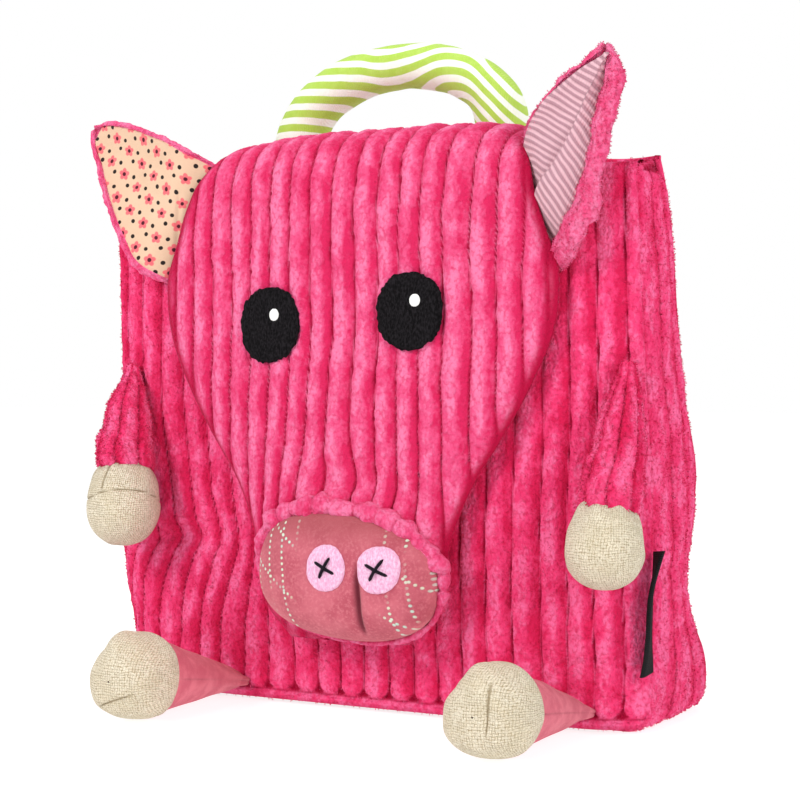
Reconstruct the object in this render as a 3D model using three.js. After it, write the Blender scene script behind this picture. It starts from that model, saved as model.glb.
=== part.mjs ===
// A child's soft backpack made up as a pig, in millimetres, +Z up, the front facing -Y.
// The origin is the centre of the flat base. The bag is three sewn panels round an open hollow,
// closed by a padded head that is sewn on behind the mouth and hangs down over the front.
// Left and right are the viewer's, looking at the front: left is -X.
import * as THREE from "three";

// Bag
const BODY_WIDTH = 276;
const BODY_HEIGHT = 246;
const BASE_DEPTH = 98;
const BACK_RISE = 8; // the back panel stands this much above the front panel
const WALL = 4;
const SEAM_GAP = 0.3;
const EDGE_ROLL = 6; // how far a panel's sewn edge rolls back
const ROLL_REACH = 24; // how far in from the edge the roll starts
const FRONT_BULGE = 4;
const BACK_BULGE = 3;
const BULGE_START = 0.15; // share of the height where a bulge is full
const SIDE_BULGE = 4;
const BASE_CORNER = 16;
const CORNER_STEPS = 4;

// Wide-wale plush
const WALE_PITCH = 11.7;
const WALE_HEIGHT = 1.6;
const WALE_START = 6; // the wales begin this far above the floor
const FLANK_SHARE = 0.2; // share of a wale's pitch taken by each flank
const SIDE_RIDGES = 3;

// Head
const HEAD_WIDTH = 208;
const HEAD_RISE = 10; // the crest of the head's middle surface stands this far above the back panel
const HEAD_CHIN = 34; // its lower end above the floor
const HEAD_REACH = 16; // the lower head's middle surface stands about this far before the base edge
const HEAD_PADDING = 10;
const HEAD_EDGE = 3; // thickness at the sewn edge
const HEAD_CROWN = 5; // the head's edges lie this far behind its middle
const HEAD_SWING = 5; // how far the chin hangs to the right of the crest
const HEAD_PIVOT = 1.35; // the height, as a share of the head's, whose middle would be the bag's

// Face
const SEAT = 0.55; // clearance under a piece that is sewn down on the ribbed plush
const SNOUT = { z: 64, width: 96, height: 56, rim: 2.5, rise: 12.5, square: 2.5 };
const SNOUT_DART = 2;
const NOSTRIL = { width: 19.5, height: 20.5, thick: 1.2, spread: 25, offset: 15, z: 69 };
const EYE = { width: 32, height: 33.5, thick: 1.6 };
const EYES = { left: { x: -34.5, z: 177.5 }, right: { x: 39, z: 182.5 } };

// Ears
const EAR_THICK = 6;
const EAR_EDGE = 2.4;
const EAR_FORWARD = 4; // the ears are sewn this far before the middle of the head's edge
const EAR_LINING = 1.2;

// Handle
const HANDLE_DIAMETER = 25;
const HANDLE_SPAN = 110; // between the centre lines of its two feet
const HANDLE_RISE = 63; // the top of the handle stands this far above the back panel
const HANDLE_X = -4;
const HANDLE_BEHIND = 9; // the arch's centre line stands this far behind the back panel's top
const HANDLE_FOOT = 22; // how far its feet run down the back panel
const HANDLE_FOOT_THICK = 7;
const HANDLE_SIDES = 10;

// Arms and legs
const ARM_TOP = 155;
const ARM_ROOT_RADIUS = 6;
const ARM_SEAT = 1; // this far in from its middle, an arm's root rests on the front panel
const WRIST_RADIUS = 15.5;
const HAND_RADIUS = 18;
const HAND_LENGTH = 21; // half of the ball's length down the arm
const ARM_BOW = 2; // how far the sleeve bows out from the corner of the bag
const LEG_LENGTH = 66;
const LEG_ROOT_WIDTH = 30;
const LEG_ROOT_THICK = 8;
const LEG_ROOT_Z = 9;
const LEG_SPACING = 177;
const LEG_MIDDLE = 18; // the legs lie this far to the right of the middle
const FOOT_RADIUS = 20;
const FOOT_DOME = 25;
const ARM_SIDES = 12;
const LEG_SIDES = 14;

// Label and shoulder straps
const LABEL = { length: 50, reach: 10, thick: 2.4, root: 1.2, z: 27, angle: -78, twist: 24 };
const STRAP_WIDTH = 38;
const STRAP_THICK = 6;
const STRAP_TOP_X = 34;
const STRAP_LOW_X = 106;
const STRAP_BELOW_FEET = 7; // the straps are sewn this far below the handle's feet
const STRAP_LOW_Z = 34;
const STRAP_STANDOFF = 48; // clear depth of each strap's loop behind the back panel

// The bag's upright section. height is a share of BODY_HEIGHT, front and back of BASE_DEPTH,
// half of BODY_WIDTH, left the share that the left side adds to that, and roll of EDGE_ROLL, how
// far the front panel's sewn edge is rolled back.
const BODY_SECTIONS = [
  { height: 0.0, front: -0.445, back: 0.45, half: 0.497, left: -0.045, roll: 1.5 },
  { height: 0.04, front: -0.445, back: 0.48, half: 0.5, left: -0.045, roll: 1.8 },
  { height: 0.1, front: -0.445, back: 0.395, half: 0.502, left: -0.04, roll: 2.1 },
  { height: 0.16, front: -0.445, back: 0.27, half: 0.503, left: -0.03, roll: 2.25 },
  { height: 0.22, front: -0.445, back: 0.19, half: 0.505, left: -0.02, roll: 2.25 },
  { height: 0.32, front: -0.445, back: 0.255, half: 0.51, left: -0.01, roll: 2.2 },
  { height: 0.43, front: -0.445, back: 0.34, half: 0.51, left: 0, roll: 1.9 },
  { height: 0.56, front: -0.445, back: 0.215, half: 0.507, left: 0, roll: 1.45 },
  { height: 0.7, front: -0.445, back: 0.125, half: 0.504, left: 0, roll: 0.95 },
  { height: 0.82, front: -0.445, back: 0.07, half: 0.502, left: 0, roll: 0.65 },
  { height: 0.91, front: -0.445, back: 0.02, half: 0.499, left: 0, roll: 0.5 },
  { height: 1.0, front: -0.435, back: -0.08, half: 0.495, left: 0, roll: 0.4 },
];

// Folds pressed into the front panel. across is a share of half of BODY_WIDTH, height of
// BODY_HEIGHT, wide and tall of BODY_HEIGHT, depth of WALL.
const FRONT_DENTS = [
  { across: -0.86, height: 0.4, wide: 0.13, tall: 0.05, depth: 1.1 },
  { across: -0.62, height: 0.3, wide: 0.1, tall: 0.07, depth: 0.5 },
  { across: 0.8, height: 0.24, wide: 0.1, tall: 0.05, depth: 0.6 },
];

// The head's middle surface, from the seam behind the mouth over the crest and down to the chin.
// out is a share of HEAD_REACH before the base edge, up a share of the way from chin to crest,
// half a share of HEAD_WIDTH, pad of HEAD_PADDING, crown of HEAD_CROWN, wale of WALE_HEIGHT.
const HEAD_SECTIONS = [
  { out: -2.75, up: 0.964, half: 0.36, pad: 0.55, crown: 0, wale: 0 },
  { out: -2.64, up: 0.984, half: 0.37, pad: 0.65, crown: 0, wale: 0.1 },
  { out: -2.16, up: 0.998, half: 0.385, pad: 0.85, crown: 0.1, wale: 0.5 },
  { out: -1.5, up: 1.0, half: 0.395, pad: 1, crown: 0.2, wale: 0.9 },
  { out: -0.78, up: 0.994, half: 0.395, pad: 1, crown: 0.4, wale: 1 },
  { out: -0.14, up: 0.974, half: 0.405, pad: 0.95, crown: 0.6, wale: 1 },
  { out: 0.29, up: 0.93, half: 0.42, pad: 0.9, crown: 0.8, wale: 1 },
  { out: 0.41, up: 0.878, half: 0.44, pad: 0.95, crown: 1, wale: 1 },
  { out: 0.44, up: 0.8, half: 0.468, pad: 1, crown: 1, wale: 1 },
  { out: 0.44, up: 0.717, half: 0.497, pad: 1, crown: 1, wale: 1 },
  { out: 0.47, up: 0.613, half: 0.487, pad: 1, crown: 1, wale: 1 },
  { out: 0.56, up: 0.513, half: 0.44, pad: 1, crown: 1, wale: 1 },
  { out: 0.62, up: 0.413, half: 0.375, pad: 1, crown: 1, wale: 1 },
  { out: 0.69, up: 0.313, half: 0.3, pad: 1.05, crown: 1, wale: 1 },
  { out: 0.75, up: 0.209, half: 0.25, pad: 1.1, crown: 0.9, wale: 0.9 },
  { out: 0.8, up: 0.13, half: 0.235, pad: 1.1, crown: 0.7, wale: 0.7 },
  { out: 0.79, up: 0.061, half: 0.215, pad: 0.9, crown: 0.6, wale: 0.6 },
  { out: 0.73, up: 0.0, half: 0.15, pad: 0.3, crown: 0.3, wale: 0.3 },
];
const HEAD_FRONT = HEAD_SECTIONS.slice(4).reverse();

// An ear's width along its length, as a share of its root's width.
const EAR_OUTLINE = [
  { along: 0, width: 1 },
  { along: 0.2, width: 0.95 },
  { along: 0.45, width: 0.77 },
  { along: 0.7, width: 0.52 },
  { along: 0.88, width: 0.31 },
  { along: 1, width: 0.12 },
];

// Each ear: the heights where its root starts and ends on the head's edge, its length, the angle
// of its middle line above level, how deep it is cupped, how far its tip leans back, how far its
// lower edge bellies out, and the plush margins below and above the lining as shares of its width.
const EARS = {
  left: {
    side: -1,
    low: 200,
    high: 252,
    length: 76,
    angle: 38,
    cup: 6,
    lean: 6,
    belly: 3,
    margins: [0.07, 0.07],
  },
  right: {
    side: 1,
    low: 202,
    high: 252,
    length: 74,
    angle: 62,
    cup: 12,
    lean: 4,
    belly: 15,
    margins: [0.24, 0.07],
  },
};

// The handle's arch from its left foot to its right. across is a share of HANDLE_SPAN, up a share
// of the rise of its middle line above its feet, back of HANDLE_BEHIND, deep and wide of
// HANDLE_DIAMETER.
const HANDLE_ARCH = [
  { across: -0.5, up: 0, back: 0, deep: 0, wide: 1.1 },
  { across: -0.51, up: 0.2, back: 0, deep: 0, wide: 1.1 },
  { across: -0.53, up: 0.34, back: 0.7, deep: 0.4, wide: 1.05 },
  { across: -0.53, up: 0.5, back: 0.95, deep: 1, wide: 1 },
  { across: -0.47, up: 0.72, back: 1, deep: 1, wide: 1 },
  { across: -0.34, up: 0.89, back: 1, deep: 1, wide: 0.95 },
  { across: -0.13, up: 0.985, back: 1, deep: 1, wide: 0.9 },
  { across: 0.08, up: 1, back: 1, deep: 1, wide: 0.9 },
  { across: 0.28, up: 0.935, back: 1, deep: 1, wide: 0.92 },
  { across: 0.44, up: 0.78, back: 1, deep: 1, wide: 1 },
  { across: 0.5, up: 0.56, back: 1, deep: 1, wide: 1 },
  { across: 0.51, up: 0.34, back: 0.7, deep: 0.4, wide: 1.05 },
  { across: 0.5, up: 0.2, back: 0, deep: 0, wide: 1.1 },
  { across: 0.5, up: 0, back: 0, deep: 0, wide: 1.1 },
];

// An arm from its sewn root to the wrist, and the ball hand below it. along runs down the arm,
// radius is a share of the way from ARM_ROOT_RADIUS to WRIST_RADIUS.
const ARM_PROFILE = [
  { along: 0, radius: 0 },
  { along: 0.2, radius: 0.2 },
  { along: 0.45, radius: 0.5 },
  { along: 0.75, radius: 0.82 },
  { along: 1, radius: 1 },
];

// Each arm: how far its root is sewn in from the bag's side, and its hand's centre, inward of the
// bag's side and forward of its front.
const ARMS = {
  left: { side: -1, inset: 12, inward: 20, forward: 22, z: 94 },
  right: { side: 1, inset: 4, inward: 7, forward: 22, z: 84 },
};

// Each shoulder strap's line. along runs down the strap, across is a share of the way out,
// off a share of STRAP_STANDOFF behind the back panel.
const STRAP_LINE = [
  { along: 0.0, across: 0.0, off: 0.0 },
  { along: 0.08, across: 0.06, off: 0.0 },
  { along: 0.15, across: 0.11, off: 0.2 },
  { along: 0.26, across: 0.2, off: 0.6 },
  { along: 0.4, across: 0.35, off: 0.93 },
  { along: 0.55, across: 0.54, off: 1.0 },
  { along: 0.7, across: 0.74, off: 0.8 },
  { along: 0.83, across: 0.9, off: 0.4 },
  { along: 0.92, across: 0.98, off: 0.08 },
  { along: 0.95, across: 1.0, off: 0.0 },
  { along: 1.0, across: 1.0, off: 0.0 },
];
const STRAP_COLUMNS = [-1, -0.75, 0, 0.75, 1];

const V = (x, y, z) => new THREE.Vector3(x, y, z);
const { clamp, lerp, degToRad } = THREE.MathUtils;
const spread = (count, from, to) =>
  Array.from({ length: count + 1 }, (_, i) => lerp(from, to, i / count));

// The value of one column of a table at a key, on straight lines between its rows.
function lookup(rows, key, column, at) {
  let i = 1;
  while (i < rows.length - 1 && rows[i][key] < at) i += 1;
  const [a, b] = [rows[i - 1], rows[i]];
  return lerp(a[column], b[column], clamp((at - a[key]) / (b[key] - a[key]), 0, 1));
}

// A mesh geometry from points and triangles, turned so that its faces point out.
function geometryOf(points, triangles) {
  const volume = triangles.reduce((sum, [a, b, c]) => {
    return sum + points[a].dot(points[b].clone().cross(points[c]));
  }, 0);
  const faces = volume > 0 ? triangles : triangles.map(([a, b, c]) => [a, c, b]);
  const geometry = new THREE.BufferGeometry();
  const positions = points.flatMap((p) => p.toArray());
  geometry.setAttribute("position", new THREE.Float32BufferAttribute(positions, 3));
  geometry.setIndex(faces.flat());
  geometry.computeVertexNormals();
  return geometry;
}

// A wall between two grids of points, outer and inner, joined round their four sides.
function shell(outer, inner) {
  const points = [...outer.flat(), ...inner.flat()];
  const triangles = [];
  const index = (grid, offset) => (r, c) => offset + r * grid[0].length + c;
  const out = index(outer, 0);
  const back = index(inner, outer.flat().length);
  const skin = (grid, at, flip) => {
    for (let r = 0; r < grid.length - 1; r += 1) {
      for (let c = 0; c < grid[0].length - 1; c += 1) {
        const [p, q, s, t] = [at(r, c), at(r, c + 1), at(r + 1, c + 1), at(r + 1, c)];
        triangles.push(flip ? [p, s, q] : [p, q, s], flip ? [p, t, s] : [p, s, t]);
      }
    }
  };
  skin(outer, out, false);
  skin(inner, back, true);
  const sides = (grid, at) => {
    const [rows, cols] = [grid.length - 1, grid[0].length - 1];
    const run = (count, pick) => Array.from({ length: count + 1 }, (_, i) => pick(i));
    return [
      run(cols, (i) => at(0, i)),
      run(rows, (i) => at(i, cols)),
      run(cols, (i) => at(rows, cols - i)),
      run(rows, (i) => at(rows - i, 0)),
    ];
  };
  const innerSides = sides(inner, back);
  sides(outer, out).forEach((a, side) => {
    const b = innerSides[side];
    let [i, j] = [0, 0];
    while (i < a.length - 1 || j < b.length - 1) {
      const behind = (i + 1) * (b.length - 1) <= (j + 1) * (a.length - 1);
      const takeOuter = j === b.length - 1 || (i < a.length - 1 && behind);
      triangles.push(takeOuter ? [a[i], b[j], a[i + 1]] : [a[i], b[j], b[j + 1]]);
      if (takeOuter) i += 1;
      else j += 1;
    }
  });
  return geometryOf(points, triangles);
}

// A closed body through rings of equal counts, ended by a fan to a point at each end.
function loft(rings, start, end) {
  const count = rings[0].length;
  const points = [...rings.flat(), start, end];
  const triangles = [];
  const [first, last] = [points.length - 2, points.length - 1];
  for (let i = 0; i < count; i += 1) {
    const next = (i + 1) % count;
    for (let r = 0; r < rings.length - 1; r += 1) {
      const [p, q] = [r * count + i, r * count + next];
      triangles.push([p, q, q + count], [p, q + count, p + count]);
    }
    const tail = (rings.length - 1) * count;
    triangles.push([next, i, first], [tail + i, tail + next, last]);
  }
  return geometryOf(points, triangles);
}

const middleOf = (ring) => ring.reduce((sum, p) => sum.add(p), V(0, 0, 0)).divideScalar(ring.length);

// The unit normals of a grid of points.
function normalsOf(grid) {
  const [rows, cols] = [grid.length - 1, grid[0].length - 1];
  return grid.map((row, r) =>
    row.map((_, c) => {
      const down = grid[Math.min(r + 1, rows)][c].clone().sub(grid[Math.max(r - 1, 0)][c]);
      const over = row[Math.min(c + 1, cols)].clone().sub(row[Math.max(c - 1, 0)]);
      return over.cross(down).normalize();
    }),
  );
}

// A grid moved along its normals by a distance that may differ from point to point.
function offsetGrid(grid, distance) {
  const normals = normalsOf(grid);
  return grid.map((row, r) => {
    return row.map((point, c) => point.clone().addScaledVector(normals[r][c], distance(r, c)));
  });
}

// Columns across a ribbed surface: a groove, then two shoulders for each wale.
function ridgeColumns(count, from, to) {
  const columns = [{ at: from, rise: 0 }];
  for (let i = 0; i < count; i += 1) {
    const at = (share) => lerp(from, to, (i + share) / count);
    const shoulders = [FLANK_SHARE, 1 - FLANK_SHARE].map((share) => ({ at: at(share), rise: 1 }));
    columns.push(...shoulders, { at: at(1), rise: 0 });
  }
  return columns;
}

// Levels up the bag, as shares of its height: round the base corner, then at each section.
const CORNER_LEVELS = spread(CORNER_STEPS, 0, Math.PI / 2).map(
  (turn) => (BASE_CORNER * (1 - Math.cos(turn))) / BODY_HEIGHT,
);
const LEVELS = [
  ...CORNER_LEVELS,
  ...BODY_SECTIONS.map((row) => row.height).filter((height) => height > CORNER_LEVELS[CORNER_STEPS] * 1.2),
];

const levelZ = (level, behind) => level * (BODY_HEIGHT + behind * BACK_RISE);
const frontEdge = (level) => lookup(BODY_SECTIONS, "height", "front", level) * BASE_DEPTH;
const backEdge = (level) => lookup(BODY_SECTIONS, "height", "back", level) * BASE_DEPTH;

// How far the bag's outline has turned from the floor to upright at a level, as a sine.
const cornerSine = (level) => {
  const below = clamp(BASE_CORNER - level * BODY_HEIGHT, 0, BASE_CORNER) / BASE_CORNER;
  return Math.sqrt(1 - below * below);
};
function halfWidth(level, side) {
  const share = (column) => lookup(BODY_SECTIONS, "height", column, level);
  const half = (share("half") + (side < 0 ? share("left") : 0)) * BODY_WIDTH;
  return half - BASE_CORNER * (1 - cornerSine(level));
}

// How near a point of a panel lies to its sewn sides and base, from 0 to 1 at the edge.
function edgeNearness(across, level) {
  const fromSide = (1 - Math.abs(across)) * halfWidth(level, across);
  const fromBase = (level - CORNER_LEVELS[1]) * BODY_HEIGHT;
  return 1 - clamp(Math.min(fromSide, fromBase) / ROLL_REACH, 0, 1);
}

const bulgeAt = (across, level) => (1 - across * across) * Math.min(1, level / BULGE_START);

function dentAt(across, level) {
  return FRONT_DENTS.reduce((sum, dent) => {
    const x = ((across - dent.across) * BODY_WIDTH) / 2 / (dent.wide * BODY_HEIGHT);
    const z = (level - dent.height) / dent.tall;
    return sum + dent.depth * WALL * Math.exp(-x * x - z * z) * (1 - across * across) * 2;
  }, 0);
}

// The front panel's surface without its wales, and the back panel's surface.
const frontRoll = (level) => EDGE_ROLL * lookup(BODY_SECTIONS, "height", "roll", level);
function frontSkin(across, level) {
  const rolled = frontRoll(level) * edgeNearness(across, level) ** 2;
  return frontEdge(level) - FRONT_BULGE * bulgeAt(across, level) + rolled + dentAt(across, level);
}
const backSkin = (across, level) =>
  backEdge(level) + BACK_BULGE * bulgeAt(across, level) - EDGE_ROLL * edgeNearness(across, level) ** 2;
const frontSkinAt = (x, z) => frontSkin(x / halfWidth(z / BODY_HEIGHT, x), z / BODY_HEIGHT);
const backSkinAt = (x, z) => {
  const level = z / (BODY_HEIGHT + BACK_RISE);
  return backSkin(x / halfWidth(level, x), level);
};

const PANEL_COLUMNS = [-1, -0.96, -0.9, -0.7, -0.45, -0.15, 0.15, 0.45, 0.7, 0.9, 0.96, 1];
const PANEL_LEVELS = LEVELS.slice(1);

function frontPanel() {
  const columns = ridgeColumns(Math.round(BODY_WIDTH / WALE_PITCH), -1, 1);
  const outer = PANEL_LEVELS.map((level) => {
    const z = levelZ(level, 0);
    const wale = z > WALE_START ? WALE_HEIGHT : 0;
    return columns.map(({ at, rise }) => {
      return V(at * halfWidth(level, at), frontSkin(at, level) - wale * rise, z);
    });
  });
  const inner = PANEL_LEVELS.map((level) =>
    PANEL_COLUMNS.map((at) => V(at * halfWidth(level, at), frontSkin(at, level) + WALL, levelZ(level, 0))),
  );
  return shell(outer, inner);
}

function backPanel() {
  const skin = (inset) =>
    PANEL_LEVELS.map((level) =>
      PANEL_COLUMNS.map((at) => V(at * halfWidth(level, at), backSkin(at, level) - inset, levelZ(level, 1))),
    );
  return shell(skin(0), skin(WALL));
}

// The gusset's run: down the left side, round the corner, along the base and up the right side.
function gussetRun() {
  const side = LEVELS.map((level) => ({ level, sine: cornerSine(level) }));
  const base = { level: 0, sine: 0 };
  return [
    ...side.slice().reverse().map((row) => ({ ...row, share: -1 })),
    ...[-0.5, 0, 0.5].map((share) => ({ ...base, share })),
    ...side.map((row) => ({ ...row, share: 1 })),
  ];
}

// A point of the gusset, proud of the bag's outline. Only its inner face leaves the floor, so the
// base stays flat.
function gussetPoint({ level, sine, share }, behind, proud) {
  const front = frontEdge(level) + frontRoll(level) + WALL + SEAM_GAP;
  const back = backEdge(level) - EDGE_ROLL - WALL - SEAM_GAP;
  const cosine = Math.sqrt(1 - sine * sine);
  const x = share * halfWidth(level, share) + Math.sign(share) * sine * proud;
  return V(x, lerp(front, back, behind), levelZ(level, behind) - cosine * Math.min(proud, 0));
}

function sideGusset() {
  const columns = ridgeColumns(SIDE_RIDGES, 0, 1);
  const bulge = (at) => SIDE_BULGE * Math.sin(Math.PI * at);
  const run = gussetRun();
  const outer = run.map((row) =>
    columns.map(({ at, rise }) => gussetPoint(row, at, row.sine * (bulge(at) + WALE_HEIGHT * rise))),
  );
  const inner = run.map((row) =>
    spread(4, 0, 1).map((at) => gussetPoint(row, at, row.sine * bulge(at) - WALL)),
  );
  return shell(outer, inner);
}

// The head's middle line at each section, with the direction that its front faces there.
const HEAD_SPAN = BODY_HEIGHT + BACK_RISE + HEAD_RISE - HEAD_CHIN;
const headY = (out) => -BASE_DEPTH / 2 - out * HEAD_REACH;
const headZ = (up) => HEAD_CHIN + up * HEAD_SPAN;
const headShift = (up) => HEAD_SWING * (HEAD_PIVOT - up);

function headPoint(i, across, side, wale) {
  const row = HEAD_SECTIONS[i];
  const before = HEAD_SECTIONS[Math.max(i - 1, 0)];
  const after = HEAD_SECTIONS[Math.min(i + 1, HEAD_SECTIONS.length - 1)];
  const run = V(0, headY(after.out) - headY(before.out), headZ(after.up) - headZ(before.up)).normalize();
  const facing = V(0, run.z, -run.y);
  const thick = HEAD_EDGE + (Math.max(row.pad * HEAD_PADDING, HEAD_EDGE) - HEAD_EDGE) * padShare(across);
  const lift = side * (thick / 2) + row.wale * wale * WALE_HEIGHT - row.crown * HEAD_CROWN * across * across;
  const x = headShift(row.up) + across * row.half * HEAD_WIDTH;
  return V(x, headY(row.out), headZ(row.up)).addScaledVector(facing, lift);
}

const padShare = (across) => 1 - across ** 6;

function headFlap() {
  const columns = ridgeColumns(Math.round(HEAD_WIDTH / WALE_PITCH), -1, 1);
  const rows = HEAD_SECTIONS.map((_, i) => i);
  const outer = rows.map((i) => columns.map(({ at, rise }) => headPoint(i, at, 1, rise * padShare(at))));
  const inner = rows.map((i) => PANEL_COLUMNS.map((at) => headPoint(i, at, -1, 0)));
  return shell(outer, inner);
}

// The head's front over its wales, below the crest.
function headFront(x, z) {
  const up = (z - HEAD_CHIN) / HEAD_SPAN;
  const value = (column) => lookup(HEAD_FRONT, "up", column, up);
  const across = clamp((x - headShift(up)) / (value("half") * HEAD_WIDTH), -1, 1);
  const thick = HEAD_EDGE + (value("pad") * HEAD_PADDING - HEAD_EDGE) * padShare(across);
  const proud = value("wale") * WALE_HEIGHT - value("crown") * HEAD_CROWN * across * across;
  return headY(value("out")) - thick / 2 - proud;
}

// A closed pad whose back lies on a surface and whose front stands a given height before it.
function patch({ rings, sectors, place, seat, height }) {
  const ring = (share, front) =>
    Array.from({ length: sectors }, (_, i) => {
      const [x, z] = place(share, (i / sectors) * 2 * Math.PI);
      return V(x, seat(x, z) - (front ? height(x, z) : 0), z);
    });
  const shares = spread(rings, 0, 1).slice(1);
  const [cx, cz] = place(0, 0);
  const outline = shares.map((share) => ring(share, false));
  const face = shares.map((share) => ring(share, true)).reverse();
  return loft([...outline, ...face], V(cx, seat(cx, cz), cz), V(cx, seat(cx, cz) - height(cx, cz), cz));
}

const snoutX = headShift((SNOUT.z - HEAD_CHIN) / HEAD_SPAN);
const nostrilX = snoutX + NOSTRIL.offset;

const signedPower = (value, power) => Math.sign(value) * Math.abs(value) ** power;

function snoutOutline(turn) {
  const power = 2 / SNOUT.square;
  return [
    snoutX + (SNOUT.width / 2) * signedPower(Math.cos(turn), power),
    SNOUT.z + (SNOUT.height / 2) * signedPower(Math.sin(turn), power),
  ];
}

function snoutRise(x, z) {
  const across = Math.abs(x - snoutX) / (SNOUT.width / 2);
  const up = Math.abs(z - SNOUT.z) / (SNOUT.height / 2);
  const radius = Math.min(1, (across ** SNOUT.square + up ** SNOUT.square) ** (1 / SNOUT.square));
  return SNOUT.rise * Math.sqrt(1 - radius ** 3);
}

// The plane that the snout's back is sewn against, which clears the plush behind it.
const snoutSeat = (x, z) => headFront(x, z) - SEAT - SEAM_GAP;

function snout() {
  return patch({
    rings: 5,
    sectors: 28,
    place: (share, turn) => {
      const [x, z] = snoutOutline(turn);
      return [lerp(nostrilX, x, share), lerp(SNOUT.z, z, share)];
    },
    seat: snoutSeat,
    height: (x, z) => SNOUT.rim + snoutRise(x, z) - (Math.abs(x - nostrilX) < 1 ? SNOUT_DART : 0),
  });
}

const oval = (x, z, width, height) => (share, turn) => [
  x + ((share * width) / 2) * Math.cos(turn),
  z + ((share * height) / 2) * Math.sin(turn),
];

function nostril(side) {
  return patch({
    rings: 2,
    sectors: 16,
    place: oval(nostrilX + (side * NOSTRIL.spread) / 2, NOSTRIL.z, NOSTRIL.width, NOSTRIL.height),
    seat: (x, z) => snoutSeat(x, z) - SNOUT.rim - snoutRise(x, z) - SEAM_GAP,
    height: () => NOSTRIL.thick,
  });
}

function eye({ x, z }) {
  return patch({
    rings: 2,
    sectors: 18,
    place: oval(x, z, EYE.width, EYE.height),
    seat: (px, pz) => headFront(px, pz) - SEAT,
    height: () => EYE.thick,
  });
}

// The rows and columns of an ear's back surface, root to tip and lower edge to upper edge.
function earGrid(ear) {
  const angle = degToRad(ear.angle);
  const out = V(ear.side * Math.cos(angle), ear.lean / ear.length, Math.sin(angle));
  const root = (share) => {
    const z = lerp(ear.low, ear.high, share);
    const up = (z - HEAD_CHIN) / HEAD_SPAN;
    const half = lookup(HEAD_FRONT, "up", "half", up) * HEAD_WIDTH;
    const y = headY(lookup(HEAD_FRONT, "up", "out", up)) + HEAD_CROWN - EAR_FORWARD;
    return V(headShift(up) + ear.side * (half + SEAT), y, z);
  };
  const [low, high] = [root(0), root(1)];
  const down = V(ear.side * out.z, 0, -Math.abs(out.x));
  const middle = root(0.5);
  const [lower, upper] = ear.margins;
  const columns = [0, lower, ...spread(4, lower, 1 - upper).slice(1, -1), 1 - upper, 1];
  return EAR_OUTLINE.map(({ along, width }) =>
    columns.map((share) => {
      const side = 2 * share - 1;
      const sewn = root(share);
      const straight = middle.clone().addScaledVector(high.clone().sub(low), side * 0.5 * width);
      const point = straight.lerp(sewn, (1 - along) ** 4).addScaledVector(out, ear.length * along);
      const rounded = Math.sin(Math.PI * along ** 0.7);
      const belly = ear.belly * rounded * (1 - share) ** 2;
      return point.addScaledVector(down, belly).add(V(0, -ear.cup * side * side * rounded, 0));
    }),
  );
}

function earShell(ear) {
  const grid = earGrid(ear);
  const columns = grid[0].length - 1;
  const thick = (r, c) => (c === 0 || c === columns || r === grid.length - 1 ? EAR_EDGE : EAR_THICK);
  return shell(grid, offsetGrid(grid, (r, c) => ear.side * thick(r, c)));
}

function earLining(ear) {
  const grid = earGrid(ear);
  const margin = (rows) => rows.slice(0, -1).map((row) => row.slice(1, -1));
  const near = margin(offsetGrid(grid, () => -ear.side * SEAM_GAP));
  const far = margin(offsetGrid(grid, () => -ear.side * (SEAM_GAP + EAR_LINING)));
  return shell(far, near);
}

function handle() {
  const top = levelZ(1, 1);
  const base = top - HANDLE_FOOT;
  const rise = top + HANDLE_RISE - HANDLE_DIAMETER / 2 - base;
  const lines = HANDLE_ARCH.map((row) => {
    const [x, z] = [HANDLE_X + row.across * HANDLE_SPAN, base + row.up * rise];
    const deep = lerp(HANDLE_FOOT_THICK, HANDLE_DIAMETER, row.deep);
    const seat = backSkinAt(x, Math.min(z, top)) + SEAM_GAP * 2 + HANDLE_FOOT_THICK / 2;
    return { centre: V(x, seat + row.back * HANDLE_BEHIND, z), deep, wide: row.wide * HANDLE_DIAMETER };
  });
  const rings = lines.map(({ centre, deep, wide }, i) => {
    const before = lines[Math.max(i - 1, 0)].centre;
    const after = lines[Math.min(i + 1, lines.length - 1)].centre;
    const run = V(after.x - before.x, 0, after.z - before.z).normalize();
    return Array.from({ length: HANDLE_SIDES }, (_, k) => {
      const turn = ((k + 0.5) / HANDLE_SIDES) * 2 * Math.PI;
      const [w, d] = [(Math.cos(turn) * wide) / 2, (Math.sin(turn) * deep) / 2];
      return centre.clone().add(V(run.z * w, d, -run.x * w));
    });
  });
  return loft(rings, middleOf(rings[0]), middleOf(rings[rings.length - 1]));
}

// Rings of given radii across a straight line, for arms and hands.
function turned(from, to, profile, bow = V(0, 0, 0)) {
  const axis = to.clone().sub(from);
  const turn = new THREE.Quaternion().setFromUnitVectors(V(0, 0, 1), axis.clone().normalize());
  return profile.map(({ along, radius }) =>
    Array.from({ length: ARM_SIDES }, (_, k) => {
      const at = (k / ARM_SIDES) * 2 * Math.PI;
      return V(radius * Math.cos(at), radius * Math.sin(at), 0)
        .applyQuaternion(turn)
        .add(from)
        .addScaledVector(axis, along)
        .addScaledVector(bow, Math.sin(Math.PI * clamp(along, 0, 1)));
    }),
  );
}

function armLine(arm) {
  const rootLevel = ARM_TOP / BODY_HEIGHT;
  const rootX = arm.side * (halfWidth(rootLevel, arm.side) - arm.inset);
  const seat = frontSkinAt(rootX - arm.side * ARM_SEAT, ARM_TOP) - WALE_HEIGHT - SEAM_GAP;
  const handLevel = arm.z / BODY_HEIGHT;
  const handX = arm.side * (halfWidth(handLevel, arm.side) - arm.inward);
  return {
    root: V(rootX, seat - ARM_ROOT_RADIUS, ARM_TOP),
    hand: V(handX, frontEdge(handLevel) - arm.forward, arm.z),
  };
}

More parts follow.
